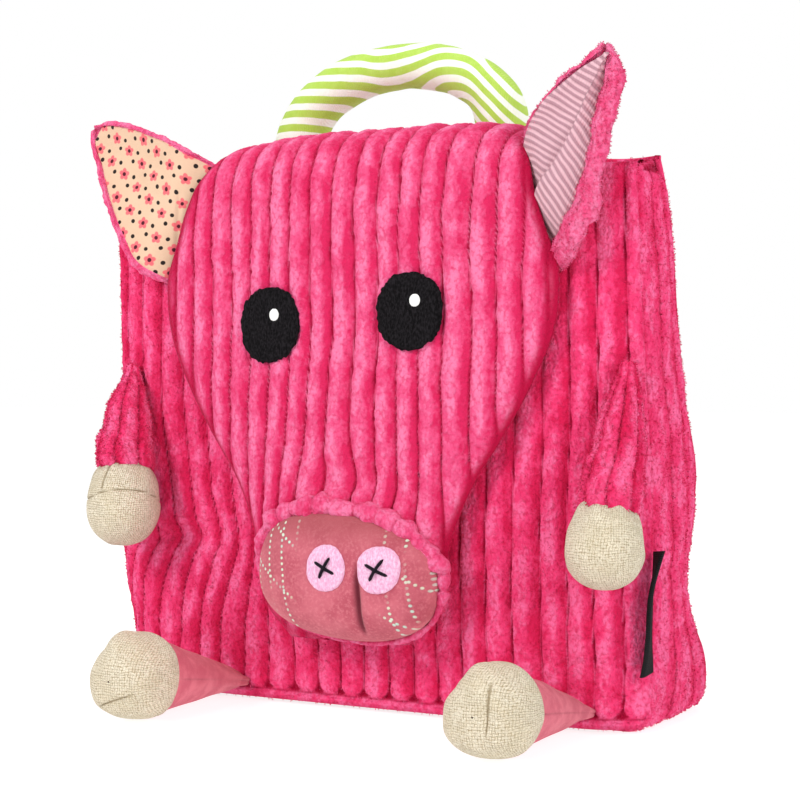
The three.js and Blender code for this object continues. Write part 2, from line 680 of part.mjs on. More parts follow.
// The wrist stands above the hand's centre, so that the sleeve's end covers the ball's shoulder.
const neck = Math.asin((WRIST_RADIUS - 1) / HAND_RADIUS);
const wristAbove = HAND_LENGTH * Math.cos(neck);

function armSleeve(arm) {
  const { root, hand } = armLine(arm);
  const axis = hand.clone().sub(root).normalize();
  const wrist = hand.clone().addScaledVector(axis, -wristAbove - SEAM_GAP);
  const profile = ARM_PROFILE.map(({ along, radius }) => ({
    along,
    radius: lerp(ARM_ROOT_RADIUS, WRIST_RADIUS, radius),
  }));
  const rings = turned(root, wrist, profile, V(arm.side, -1, 0).setLength(ARM_BOW));
  return loft(rings, root.clone().addScaledVector(axis, -ARM_ROOT_RADIUS * 0.6), wrist);
}

function handBall(arm) {
  const { root, hand } = armLine(arm);
  const axis = hand.clone().sub(root).normalize();
  const profile = spread(6, neck, Math.PI * 0.9).map((turn) => ({
    along: -Math.cos(turn),
    radius: HAND_RADIUS * Math.sin(turn),
  }));
  const end = hand.clone().addScaledVector(axis, HAND_LENGTH);
  const rings = turned(hand, end, profile);
  return loft(rings, middleOf(rings[0]), end);
}

// A ring of the leg: an upright oval at a distance before the bag's front.
function legRing(x, z, y, width, height) {
  return Array.from({ length: LEG_SIDES }, (_, k) => {
    const turn = (k / LEG_SIDES) * 2 * Math.PI;
    const [px, pz] = [x + (Math.cos(turn) * width) / 2, z + (Math.sin(turn) * height) / 2];
    return V(px, y ?? frontSkinAt(px, pz) - WALE_HEIGHT - SEAT, pz);
  });
}

const ankleY = frontEdge(LEG_ROOT_Z / BODY_HEIGHT) - LEG_LENGTH;

function legCone(x) {
  const root = legRing(x, LEG_ROOT_Z, undefined, LEG_ROOT_WIDTH, LEG_ROOT_THICK);
  const start = middleOf(root);
  const rings = [0.25, 0.5, 0.75, 1].map((along) => {
    const width = lerp(LEG_ROOT_WIDTH, FOOT_RADIUS * 2, along);
    const height = lerp(LEG_ROOT_THICK, FOOT_RADIUS * 2, along ** 0.9);
    const y = lerp(start.y, ankleY, along);
    return legRing(x, lerp(LEG_ROOT_Z, FOOT_RADIUS, along ** 0.9), y, width, height);
  });
  return loft([root, ...rings], start, V(x, ankleY, FOOT_RADIUS));
}

function footSole(x) {
  const rings = spread(5, 0, Math.PI * 0.45).map((turn) => {
    const size = FOOT_RADIUS * 2 * Math.cos(turn) ** 0.8;
    return legRing(x, FOOT_RADIUS, ankleY - SEAM_GAP - FOOT_DOME * Math.sin(turn), size, size);
  });
  return loft(rings, middleOf(rings[0]), V(x, ankleY - SEAM_GAP - FOOT_DOME, FOOT_RADIUS));
}

// The label: a folded ribbon that stands out of the right side seam and twists as it rises.
function sideLabel() {
  const rings = spread(5, 0, 1).map((up) => {
    const z = LABEL.z + up * LABEL.length;
    const level = z / BODY_HEIGHT;
    const angle = degToRad(LABEL.angle - LABEL.twist * (1 - up));
    const out = V(Math.cos(angle), Math.sin(angle), 0);
    const across = V(-out.y, out.x, 0);
    const seamY = frontEdge(level) + frontRoll(level);
    const seam = V(halfWidth(level, 1) + LABEL.root / 2 + SEAM_GAP, seamY, z);
    const point = (reach, half) =>
      seam.clone().addScaledVector(out, reach * LABEL.reach).addScaledVector(across, half);
    const [thin, full] = [LABEL.root / 2, LABEL.thick / 2];
    return [
      point(0, -thin),
      point(0.6, -full),
      point(0.92, -full),
      point(1, 0),
      point(0.92, full),
      point(0.6, full),
      point(0, thin),
    ];
  });
  return loft(rings, middleOf(rings[0]), middleOf(rings[rings.length - 1]));
}

function shoulderStrap(side) {
  const line = STRAP_LINE.map(({ along, across, off }) => ({
    x: side * lerp(STRAP_TOP_X, STRAP_LOW_X, across),
    z: lerp(levelZ(1, 1) - HANDLE_FOOT - STRAP_BELOW_FEET, STRAP_LOW_Z, along),
    off: off * STRAP_STANDOFF,
  }));
  const grid = line.map(({ x, z, off }, i) => {
    const before = line[Math.max(i - 1, 0)];
    const after = line[Math.min(i + 1, line.length - 1)];
    const run = V(after.x - before.x, 0, after.z - before.z).normalize();
    return STRAP_COLUMNS.map((share) => {
      const half = (share * STRAP_WIDTH) / 2;
      const [px, pz] = [x - run.z * half, z + run.x * half];
      return V(px, backSkinAt(px, pz) + SEAM_GAP * 2 + off, pz);
    });
  });
  const last = STRAP_COLUMNS.length - 1;
  const thick = (r, c) => (c === 0 || c === last ? STRAP_THICK / 2 : STRAP_THICK);
  const outer = offsetGrid(grid, thick);
  return shell(outer, grid);
}

const MATERIALS = {
  plush: { color: "#e6437f", roughness: 0.95 },
  linen: { color: "#dccfb4", roughness: 0.95 },
  calico: { color: "#efe0b4", roughness: 0.9 },
  knit: { color: "#dba9b8", roughness: 0.9 },
  stripe: { color: "#d3e08a", roughness: 0.85 },
  snout_cloth: { color: "#cf6674", roughness: 0.85 },
  leg_cloth: { color: "#d2607a", roughness: 0.9 },
  felt_pink: { color: "#f0c2dd", roughness: 1 },
  felt_black: { color: "#171417", roughness: 1 },
  ribbon: { color: "#1a181a", roughness: 0.7 },
  strap_cloth: { color: "#d83c74", roughness: 0.9 },
};

const group = new THREE.Group();

function add(name, geometry, material) {
  const look = new THREE.MeshStandardMaterial({ ...MATERIALS[material], metalness: 0 });
  const mesh = new THREE.Mesh(geometry, look);
  mesh.name = name;
  group.add(mesh);
}

add("front_panel", frontPanel(), "plush");
add("side_gusset", sideGusset(), "plush");
add("back_panel", backPanel(), "plush");
add("head_flap", headFlap(), "plush");
add("snout", snout(), "snout_cloth");
add("nostril_left", nostril(-1), "felt_pink");
add("nostril_right", nostril(1), "felt_pink");
add("handle", handle(), "stripe");
add("side_label", sideLabel(), "ribbon");
for (const side of ["left", "right"]) {
  add(`eye_${side}`, eye(EYES[side]), "felt_black");
  add(`ear_${side}`, earShell(EARS[side]), "plush");
  add(`ear_${side}_lining`, earLining(EARS[side]), side === "left" ? "calico" : "knit");
  add(`arm_${side}`, armSleeve(ARMS[side]), "plush");
  add(`hand_${side}`, handBall(ARMS[side]), "linen");
  const sign = side === "left" ? -1 : 1;
  const legX = LEG_MIDDLE + (sign * LEG_SPACING) / 2;
  add(`leg_${side}`, legCone(legX), "leg_cloth");
  add(`foot_${side}`, footSole(legX), "linen");
  add(`strap_${side}`, shoulderStrap(sign), "strap_cloth");
}

export default group;
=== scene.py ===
# The looks of a child's soft backpack made up as a pig: wide-wale plush, stuffed limbs, felt face.
# Shapes are worked out in millimetres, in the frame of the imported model, and made in metres.
# Left and right are the viewer's, looking at the front: left is -X and the front faces -Y.
import math

import bpy
import numpy as np
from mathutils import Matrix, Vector


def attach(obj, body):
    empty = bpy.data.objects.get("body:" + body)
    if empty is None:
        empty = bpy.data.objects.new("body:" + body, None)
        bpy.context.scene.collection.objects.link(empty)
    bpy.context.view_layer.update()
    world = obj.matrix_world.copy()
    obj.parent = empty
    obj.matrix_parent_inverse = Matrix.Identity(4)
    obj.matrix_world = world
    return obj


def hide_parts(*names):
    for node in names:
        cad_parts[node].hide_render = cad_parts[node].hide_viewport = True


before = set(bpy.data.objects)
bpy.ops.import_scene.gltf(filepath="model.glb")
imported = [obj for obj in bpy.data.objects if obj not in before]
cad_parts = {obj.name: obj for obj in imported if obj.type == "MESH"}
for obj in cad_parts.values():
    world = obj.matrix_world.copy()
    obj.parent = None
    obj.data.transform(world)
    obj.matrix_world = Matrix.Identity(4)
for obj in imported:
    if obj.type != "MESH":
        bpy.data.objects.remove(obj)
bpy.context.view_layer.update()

MM = 0.001
BODY_WIDTH, BODY_HEIGHT, BASE_DEPTH, BACK_RISE = 276, 246, 98, 8
WALL, SEAM_GAP, EDGE_ROLL, ROLL_REACH = 4, 0.3, 6, 24
BASE_CORNER = 8  # radius of the edges between the sides and the base
FRONT_BULGE, BACK_BULGE, SIDE_BULGE = 4, 3, 4
LIP = 2  # radius of a panel's turned edge
GUSSET_TOP, GUSSET_RISE = 243.5, 6  # height of the gusset in front, and what it gains by the back
PANEL_START = 1.2  # height of the panels' lower edge
GUSSET_TUCK = 3.4  # how far the gusset's edges reach over the panels' seams
BAG_WALE, HEAD_WALE = 12.6, 11.6  # pitch of the wales
BAG_RIB, HEAD_RIB, SLEEVE_RIB = 2.8, 3.2, 2.6  # how high their crowns stand over the grooves
GRAIN, ROW = 1.0, 1.35  # spacing of the points of the plush across its wales and along them
TUFT = 1.15  # length of a loose tuft of pile
LINEN_PITCH, BLOSSOM_PITCH, STRIPE_PITCH, DOT_STEP = 1.2, 10.5, 7.0, 2.6  # repeats of the cloths


def rows(names, values):
    """A table as a dictionary of columns."""
    return dict(zip(names.split(), np.array(values, float).T))


# The bag's section by height, as a share of its own: the front and back seams as shares of
# BASE_DEPTH, half the width as a share of BODY_WIDTH and what its left half adds to that, and how
# deep the front's side edges roll back, in EDGE_ROLLs.
BODY = rows("height front back half left roll", [
    (0.0, -0.475, 0.43, 0.505, -0.04, 1.5), (0.04, -0.46, 0.5, 0.507, -0.03, 1.8),
    (0.1, -0.445, 0.47, 0.508, -0.014, 2.1), (0.16, -0.445, 0.35, 0.505, 0, 2.25),
    (0.22, -0.445, 0.25, 0.506, 0.01, 2.25), (0.32, -0.445, 0.27, 0.51, 0.014, 2.2),
    (0.43, -0.445, 0.345, 0.51, 0.003, 1.9), (0.56, -0.445, 0.22, 0.507, 0, 1.45),
    (0.7, -0.445, 0.14, 0.504, 0, 0.95), (0.82, -0.445, 0.1, 0.502, 0, 0.65),
    (0.91, -0.445, 0.055, 0.499, 0, 0.5), (1.0, -0.435, -0.04, 0.495, 0, 0.4)])
# The head's middle line from its seam over the crest to its chin, with half its width as a share
# of HEAD_WIDTH, and how much padding, crown and wale it has there.
HEAD = rows("y z half pad crown wale", [
    (-5, 255.8, 0.36, 0.55, 0, 0), (-6.8, 260.4, 0.37, 0.65, 0, 0.1),
    (-14.5, 262.5, 0.385, 0.85, 0.1, 0.6), (-25, 263, 0.39, 1, 0.2, 1),
    (-36.5, 261.8, 0.388, 1, 0.4, 1), (-46.8, 257.6, 0.395, 0.95, 0.6, 1),
    (-53.6, 248, 0.42, 0.9, 0.8, 1), (-55.6, 236, 0.44, 0.95, 1, 1), (-56, 218, 0.468, 1, 1, 1),
    (-56, 199, 0.497, 1, 1, 1), (-56.5, 175, 0.487, 1, 1, 1), (-58, 152, 0.44, 1, 1, 1),
    (-59, 129, 0.375, 1, 1, 1), (-60, 106, 0.3, 1.05, 1, 1), (-61, 82, 0.25, 1.1, 0.9, 0.9),
    (-61.8, 64, 0.235, 1.1, 0.7, 0.7), (-61.6, 48, 0.215, 0.9, 0.6, 0.6),
    (-60.7, 34, 0.15, 0.3, 0.3, 0.3)])
HEAD_WIDTH, HEAD_PADDING, HEAD_EDGE, HEAD_CROWN = 208, 10, 3, 5
HEAD_FRINGE = HEAD_EDGE * 0.35  # thickness left at the head's side edges
# The head hangs askew: its middle moves right by HEAD_SWING over HEAD_SPAN, down to its chin.
HEAD_SWING, HEAD_PIVOT, HEAD_CHIN, HEAD_SPAN = 5, 1.35, 34, 230
HEAD_LEAN = 3.5  # how far the crest leans to the right

# How far the wales low on the left are pushed to the right, by height: they kink at a fold.
KINK = rows("z push", [
    (0, -4), (22, -4.5), (42, -3), (66, 5), (75, 9), (84, 7), (108, 3), (140, 0), (246, 0)])
SNOUT_AT, SNOUT_HALF = (9.8, 64), (44.5, 28)  # the felt of the snout, tucked into its plush ring
SNOUT_RIM, SNOUT_RISE, SNOUT_POWER = 4, 11, 2.4
SNOUT_TURN = math.radians(-6)  # how far the snout hangs askew
NOSTRIL_X, NOSTRIL_Z, NOSTRIL_SPREAD, NOSTRIL_HALF = 21.1, 69, 25, (9.75, 10.25)
EYES, EYE_HALF = {"left": (-34.5, 177.5), "right": (39, 182.5)}, (16.6, 17.4)


# Shapes

def smooth(xs, ys, at):
    """A curve through the points of a table."""
    slope = np.gradient(ys, xs)
    at = np.clip(at, xs[0], xs[-1])
    i = np.clip(np.searchsorted(xs, at, side="right") - 1, 0, len(xs) - 2)
    gap = xs[i + 1] - xs[i]
    t = (at - xs[i]) / gap
    start = (2 * t**3 - 3 * t**2 + 1) * ys[i] + (t**3 - 2 * t**2 + t) * gap * slope[i]
    return start + (3 * t**2 - 2 * t**3) * ys[i + 1] + (t**3 - t**2) * gap * slope[i + 1]


def ease(value, low, high):
    """From 0 below low to 1 above high, with soft ends."""
    t = np.clip((value - low) / (high - low), 0, 1)
    return t * t * (3 - 2 * t)


def noise(x, y, z, size, seed):
    """Soft noise from -1 to 1 whose lumps are about size across."""
    lattice = np.random.default_rng(seed).uniform(-1, 1, (32, 32, 32))
    p = stacked(x, y, z) / size
    cell = np.floor(p).astype(int)
    f = p - cell
    f = f * f * (3 - 2 * f)
    total = np.zeros(p.shape[:-1])
    for corner in np.ndindex(2, 2, 2):
        weight = np.prod(np.where(corner, f, 1 - f), axis=-1)
        i = (cell + corner) % 32
        total += weight * lattice[i[..., 0], i[..., 1], i[..., 2]]
    return total


def noise_on(grid, size, seed):
    return noise(*np.moveaxis(grid, -1, 0), size, seed)


def noise_on_front(x, z, size, seed):
    return noise(x, 0 * x, z, size, seed)


def circle(count):
    """Angles all the way round, the last one a step before the first."""
    return np.linspace(0, 2 * math.pi, count, endpoint=False)


def bell(value, width):
    """1 where the value is 0, and fading to nothing on both sides."""
    return np.exp(-(value / width) ** 2)


def stacked(x, y, z):
    """Points from coordinates that may be single, in rows or in columns."""
    return np.stack(np.broadcast_arrays(x, y, z), -1)


def unit(v):
    return v / np.maximum(np.linalg.norm(v, axis=-1, keepdims=True), 1e-9)


def normals(grid, wrap=False):
    """Unit normals of a grid of points, wrap for columns that close on themselves."""
    down = np.gradient(grid, axis=0)
    if wrap:
        over = np.roll(grid, -1, axis=1) - np.roll(grid, 1, axis=1)
    else:
        over = np.gradient(grid, axis=1)
    return unit(np.cross(over, down))


def part(grid, cloth=None, ridge=1.0, wale_side=0.0, wrap=False):
    """A grid of points as one part of a mesh, with its cloth coordinates, its ridge, which also sets the
    painted shade of the plush's grooves and the linen's seams, and the place across its wales.
    """
    r, c = grid.shape[:2]
    index = np.arange(r * c).reshape(r, c)
    if wrap:
        index = np.concatenate([index, index[:, :1]], axis=1)
    faces = np.stack([index[:-1, :-1], index[:-1, 1:], index[1:, 1:], index[1:, :-1]], -1)
    cloth = grid if cloth is None else cloth
    return {
        "points": grid.reshape(-1, 3),
        "faces": faces.reshape(-1, 4),
        "cloth": np.broadcast_to(cloth, grid.shape).reshape(-1, 3),
        "ridge": np.broadcast_to(ridge, grid.shape[:2]).reshape(-1),
        "wale_side": np.broadcast_to(wale_side, grid.shape[:2]).reshape(-1),
    }


def shrunk(ring, share):
    """A ring of points drawn in towards its middle, which closes an end."""
    middle = ring.mean(axis=1, keepdims=True)
    return middle + share * (ring - middle)


def fuzz(base, count, length, seed):
    """Loose tufts of pile that stand out of a part, each a narrow leaf of two triangles."""
    random = np.random.default_rng(seed)
    corners = base["points"][base["faces"]]
    normal = np.cross(corners[:, 2] - corners[:, 0], corners[:, 3] - corners[:, 1])
    size = np.linalg.norm(normal, axis=-1)
    face = random.choice(len(size), count, p=size / size.sum())
    u, v = random.uniform(0, 1, (2, count, 1))
    a, b, c, d = (corners[face, k] for k in range(4))
    root = (a * (1 - u) + b * u) * (1 - v) + (d * (1 - u) + c * u) * v
    up = unit(normal[face]) * base.get("facing", 1)
    lean = unit(np.cross(up, random.normal(size=(count, 3))))
    side = np.cross(up, lean)
    tall = length * random.uniform(0.5, 1.2, (count, 1))
    tip = root + up * tall * 0.75 + lean * tall * 0.55
    middle = root + up * tall * 0.5 + lean * tall * 0.15
    points = np.stack([root - up * 0.3, middle - side * 0.26, tip, middle + side * 0.26], 1)
    source = base["faces"][face, 0]
    spread = lambda field: np.repeat(base[field][source], 4, axis=0)
    return {
        "points": points.reshape(-1, 3),
        "faces": np.arange(count * 4).reshape(-1, 4),
        "cloth": spread("cloth"),
        # Each tuft takes the ridge of its root, higher towards its tip, so its tip stands partly out of the
        # painted shade of the grooves.
        "ridge": np.clip(spread("ridge") + np.tile([0, 0.05, 0.2, 0.05], count), 0, 1.2),
        "wale_side": spread("wale_side"),
    }


def build(name, parts, material, node, flip=False):
    """Joins parts into one object that stands for a CAD node and takes a finish."""
    offset, faces = 0, []
    for piece in parts:
        order = piece["faces"][:, ::-1] if flip else piece["faces"]
        faces.append(order + offset)
        offset += len(piece["points"])
    points = np.concatenate([piece["points"] for piece in parts]) * MM
    points[:, 2] = np.maximum(points[:, 2], 0)
    faces = np.concatenate(faces)
    mesh = bpy.data.meshes.new(name)
    mesh.vertices.add(len(points))
    mesh.vertices.foreach_set("co", points.astype(np.float32).ravel())
    mesh.loops.add(faces.size)
    mesh.loops.foreach_set("vertex_index", faces.astype(np.int32).ravel())
    mesh.polygons.add(len(faces))
    mesh.polygons.foreach_set("loop_start", np.arange(len(faces), dtype=np.int32) * 4)
    mesh.polygons.foreach_set("loop_total", np.full(len(faces), 4, np.int32))
    mesh.update(calc_edges=True)
    mesh.validate()
    for label, kind, width in (("cloth", "FLOAT_VECTOR", 3), ("ridge", "FLOAT", 1), ("wale_side", "FLOAT", 1)):
        data = np.concatenate([piece[label].reshape(-1, width) for piece in parts])
        field = mesh.attributes.new(label, kind, "POINT")
        field.data.foreach_set("vector" if width == 3 else "value", data.astype(np.float32).ravel())
    mesh.shade_smooth()
    mesh.materials.append(material)
    obj = bpy.data.objects.new(name, mesh)
    bpy.context.scene.collection.objects.link(obj)
    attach(obj, "root")
    if node:
        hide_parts(node)
    return obj


# Plush

def wale(phase):
    """A wale's rounded section, 0 in the groove and 1 along its crown, and the place across it."""
    across = 2 * (phase - np.floor(phase)) - 1
    return (1 - np.abs(across) ** 3.8) ** 0.58, across


def crinkle(p, seed):
    """The uneven pile of crushed plush: curls, and short cracks across them."""
    x, y, z = p[..., 0], p[..., 1], p[..., 2]
    curls = 0.42 * noise(x, y, z, 3.6, seed) + 0.34 * noise(x, y, z * 1.2, 2.2, seed + 1)
    cracks = np.clip(1 - np.abs(noise(x * 0.7, y * 0.7, z * 1.4, 4.2, seed + 2)) * 5, 0, 1)
    return curls - 0.45 * cracks


# Bag

def body(name, level):
    """A column of the bag's section at a share of its height."""
    return smooth(BODY["height"], BODY[name], level)


def corner_sine(level):
    """The sine of the way down from a side round the base's edge: 1 on the side, 0 on the base."""
    below = np.clip(BASE_CORNER - level * BODY_HEIGHT, 0, BASE_CORNER) / BASE_CORNER
    return np.sqrt(1 - below**2)


def half_width(level, side):
    """Half the bag's width at a height, on the left where side is negative."""
    half = body("half", level)
    half = half + np.where(side < 0, body("left", level), 0)
    return half * BODY_WIDTH - BASE_CORNER * (1 - corner_sine(level))


def front_edge(level):
    return body("front", level) * BASE_DEPTH


def back_edge(level):
    return body("back", level) * BASE_DEPTH


def front_roll(level):
    return body("roll", level) * EDGE_ROLL


def nearness(across, level):
    """How near a place is to a panel's sides or base, from 0 at ROLL_REACH to 1 at the edge."""
    from_side = (1 - np.abs(across)) * half_width(level, across)
    from_base = (level - PANEL_START / BODY_HEIGHT) * BODY_HEIGHT
    return 1 - np.clip(np.minimum(from_side, from_base) / ROLL_REACH, 0, 1)


def front_skin(across, level):
    """The y of the front panel without its wales: a bulge, rolled edges, and folds low down."""
    bulge = FRONT_BULGE * (1 - across**2) * np.minimum(1, level / 0.15)
    side = 1 - np.clip((1 - np.abs(across)) * half_width(level, across) / ROLL_REACH, 0, 1)
    base = 1 - np.clip((level * BODY_HEIGHT - PANEL_START) / ROLL_REACH, 0, 1)
    skin = front_edge(level) - bulge + front_roll(level) * side**2 + 0.5 * base**2 * (1 - side**2)
    x, z = across * BODY_WIDTH / 2, level * BODY_HEIGHT
    fold = bell(z - 76 - 0.12 * (x + 100), 6) * ease(-x, 50, 95)
    low = bell(z - 40, 12) * ease(-x, 60, 90) * (1 - across**6)
    right = bell(z - 58, 10) * bell(x - 112, 16)
    return skin + 3.4 * fold * (1 - across**8) + 1.2 * low + 1.6 * right


def back_skin(across, level):
    """The y of the back panel without its wales."""
    bulge = BACK_BULGE * (1 - across**2) * np.minimum(1, level / 0.15)
    return back_edge(level) + bulge - EDGE_ROLL * nearness(across, level) ** 2


def puffed(z, top, reach=5.0):
    """From 1 below to 0 at the top: a wale ends there in a rounded puff."""
    return np.sqrt(1 - np.clip((z - top + reach) / reach, 0, 1) ** 2)


def with_lips(count, steps=5):
    """Shares from 0 to 1 with a turned lip at each end: share, how far out and how far round."""
    turn = np.linspace(0, math.pi, steps + 1)[1:]
    share = np.concatenate([np.zeros(steps), np.linspace(0, 1, count), np.ones(steps)])
    out = np.concatenate([-np.sin(turn[::-1]), np.zeros(count), np.sin(turn)]) * LIP
    back = np.concatenate([1 - np.cos(turn[::-1]), np.zeros(count), 1 - np.cos(turn)]) * LIP
    return share, out, back


def panel(top, sag, skin, facing, lift, grain, row):
    """A sewn panel with turned edges and sagging top corners, and its plain inner face."""
    low = PANEL_START + LIP
    dip = lambda u: sag * ease(np.abs(u), 0.55, 0.95)
    height = lambda u, upward: low + (top - LIP - low) * upward - dip(u) * upward**5
    across, out_x, back_x = with_lips(int(BODY_WIDTH / grain))
    upward, out_z, back_z = (field[:, None] for field in with_lips(int(top / row)))
    u = 2 * across[None, :] - 1
    z = height(u, upward)
    level = z / top
    x = u * (half_width(level, u) - LIP)
    depth = np.maximum(back_x[None, :], back_z)
    rise, ridge, wale_side = lift(x, z)
    fade = 1 - np.clip(depth / LIP, 0, 1)
    y = skin(u, level) + facing * (rise * fade - (1 - puffed(z, top - LIP)) * 1.5)
    grid = np.stack([x + out_x[None, :], y, z + out_z], -1)
    grid = grid + normals(grid) * (crinkle(grid, 11) * fade * (0.3 + 0.7 * ridge))[..., None]
    grid[..., 1] -= facing * depth
    # How far the colour is spared the painted shade of the grooves: low in the grooves, and at least 0.6 on
    # the turned lips.
    shade = np.maximum(ridge * (0.45 + 0.55 * fade), 0.6 * (1 - fade))
    u, upward = np.meshgrid(np.linspace(-1, 1, 48), np.linspace(0, 1, 44))
    z = height(u, upward)
    inner = np.stack([u * (half_width(z / top, u) - LIP), skin(u, z / top) - facing * WALL, z], -1)
    return [part(grid, ridge=shade, wale_side=wale_side), part(inner[:, ::-1], ridge=0.6)]


def front_lift(x, z):
    """The front panel's wales, which end in rounded tips over two smooth rolls of cloth."""
    push = smooth(KINK["z"], KINK["push"], z) * ease(-x, 22, 78)
    sway = 1.5 * noise_on_front(x, z, 70, 3) + 0.7 * noise_on_front(x, z, 26, 4)
    uneven = 1.6 * noise(x, 0 * x, 0 * z, 19, 5) + 0.5 * noise_on_front(x, z, 11, 7)
    phase = (x - push + sway + uneven) / BAG_WALE + 0.5
    ridge, wale_side = wale(phase)
    tip = ease(z - 5 - 3.2 * np.abs(wale_side) ** 3, 0, 3.5)
    ridge = ridge * tip * (0.35 + 0.65 * puffed(z, BODY_HEIGHT - 1))
    hump = lambda low, tall: np.sin(math.pi * np.clip((z - low) / tall, 0, 1))
    roll = hump(2.6, 3.8) + hump(-1, 4.4)
    crush = 0.6 * noise_on_front(x, z, 17, 6) + 0.5 * noise_on_front(x, z, 7.5, 12)
    rise = BAG_RIB * ridge - 1.7 + 2.4 * roll * (1 - tip) + crush * ridge
    # The second value sets the painted shade of the grooves; the smooth rolls below the wales are spared it.
    return rise, np.maximum(ridge, 0.85 * np.clip(roll, 0, 1) * (1 - tip)), wale_side * tip


def back_lift(x, z):
    """The back panel's wales, which run up it evenly."""
    soft = noise_on_front(x, z, 45, 8)
    ridge, wale_side = wale((x + 2 * soft) / BAG_WALE)
    return 2.2 * ridge - 1.6 + 0.6 * soft, ridge, wale_side


def gusset():
    """The strip round both sides and the base, with three broad ridges up each side."""
    round_top, turned = 2.4, np.linspace(0, math.pi, 9)[1:]
    corner = BASE_CORNER / BODY_HEIGHT * (1 - np.cos(np.linspace(0, math.pi / 2, 14)))
    crest = 1 - round_top / GUSSET_TOP
    side = np.concatenate([corner[:-1], np.linspace(corner[-1], crest, 190)])
    level = np.concatenate([np.full(8, crest), side[::-1], np.zeros(60), side, np.full(8, crest)])
    ends = np.concatenate([turned[::-1], np.zeros(2 * len(side) + 60), turned])[:, None]
    edge = np.ones(len(side) + 8)
    share = np.concatenate([-edge, np.linspace(-1, 1, 62)[1:-1], edge])
    behind, out, inward = with_lips(70)
    behind, level, share = behind[None, :], level[:, None], share[:, None]
    sine = corner_sine(level) * (np.abs(share) == 1)
    cosine = np.sqrt(1 - sine**2)
    height = GUSSET_TOP + behind * GUSSET_RISE
    front = front_edge(level) + front_roll(level) + WALL + SEAM_GAP - GUSSET_TUCK + LIP
    back = back_edge(level) - EDGE_ROLL - WALL - SEAM_GAP + GUSSET_TUCK - LIP
    y = front + (back - front) * behind + out[None, :]
    drift = noise(0 * level, 0 * level, level * BODY_HEIGHT, 55, 9)
    ridge, wale_side = wale(behind * 3 + 0.16 * drift + 0.06 * noise(y, 0 * y, level * BODY_HEIGHT, 16, 14))
    ridge = ridge * puffed(level * height, GUSSET_TOP - 1, 6)
    crown = np.sin(math.pi * behind)
    cushion = 1.8 * noise(share * 90, y, level * BODY_HEIGHT, 38, 10) * crown
    crush = 0.8 * noise(share * 90, y, level * BODY_HEIGHT, 10, 15)
    proud = sine * (SIDE_BULGE * crown + (3.2 + crush) * ridge - 2.0 + cushion) - inward[None, :]
    x = share * half_width(level, share) + np.sign(share) * sine * proud
    x = x - np.sign(share) * (1 - np.cos(ends)) * round_top
    z = level * height - cosine * np.minimum(proud, 0) + np.sin(ends) * round_top
    grid = stacked(x, y, z).copy()
    toward = stacked(share * sine * np.cos(ends), 0 * y, np.sin(ends) - cosine)
    n = normals(grid)
    n = n * np.sign(np.sum(n * toward, -1, keepdims=True))
    fade = (1 - np.clip(inward[None, :] / LIP, 0, 1)) * sine
    grid = grid + n * (crinkle(grid, 13) * fade * (0.3 + 0.7 * ridge))[..., None]
    depth = np.minimum(behind[:, ::8], 1)
    hollow = SIDE_BULGE * np.sin(math.pi * depth) - WALL
    inner = stacked(
        share * half_width(level, share) + np.sign(share) * sine * hollow,
        front + (back - front) * depth,
        level * (GUSSET_TOP + depth * GUSSET_RISE) + cosine * WALL)
    # Painted shade in the grooves where this is low; the rounded top is spared it, and the plain inner face
    # inside the bag takes about half of it.
    shade = np.broadcast_to(ridge * (0.5 + 0.5 * fade) + 0.6 * np.sin(ends), grid.shape[:2])
    return [part(grid, ridge=shade, wale_side=wale_side * fade), part(inner[:, ::-1], ridge=0.4)]


# Head

def head_shift(z):
    """How far the head's middle lies to the right, by height."""
    return HEAD_SWING * (HEAD_PIVOT - (z - HEAD_CHIN) / HEAD_SPAN) + HEAD_LEAN * ease(z, 228, 258)


def snout_place(x, z):
    """Places round the middle of the felt in its own turned axes, as shares of its half size."""
    dx, dz = x - SNOUT_AT[0], z - SNOUT_AT[1]
    u = dx * math.cos(SNOUT_TURN) + dz * math.sin(SNOUT_TURN)
    v = dz * math.cos(SNOUT_TURN) - dx * math.sin(SNOUT_TURN)
    return u / SNOUT_HALF[0], v / SNOUT_HALF[1]


def snout_radius(u, v):
    """How far out a place lies, 1 on the felt's rounded edge."""
    return (np.abs(u) ** SNOUT_POWER + np.abs(v) ** SNOUT_POWER) ** (1 / SNOUT_POWER)


def head_line(t):
    """The head's middle line, in steps of its table's rows, and the way it faces."""
    index = np.arange(len(HEAD["y"]), dtype=float)
    y, z = smooth(index, HEAD["y"], t), smooth(index, HEAD["z"], t)
    step = 0.02
    dy = smooth(index, HEAD["y"], t + step) - smooth(index, HEAD["y"], t - step)
    dz = smooth(index, HEAD["z"], t + step) - smooth(index, HEAD["z"], t - step)
    size = np.hypot(dy, dz)
    return y, z, dz / size, -dy / size


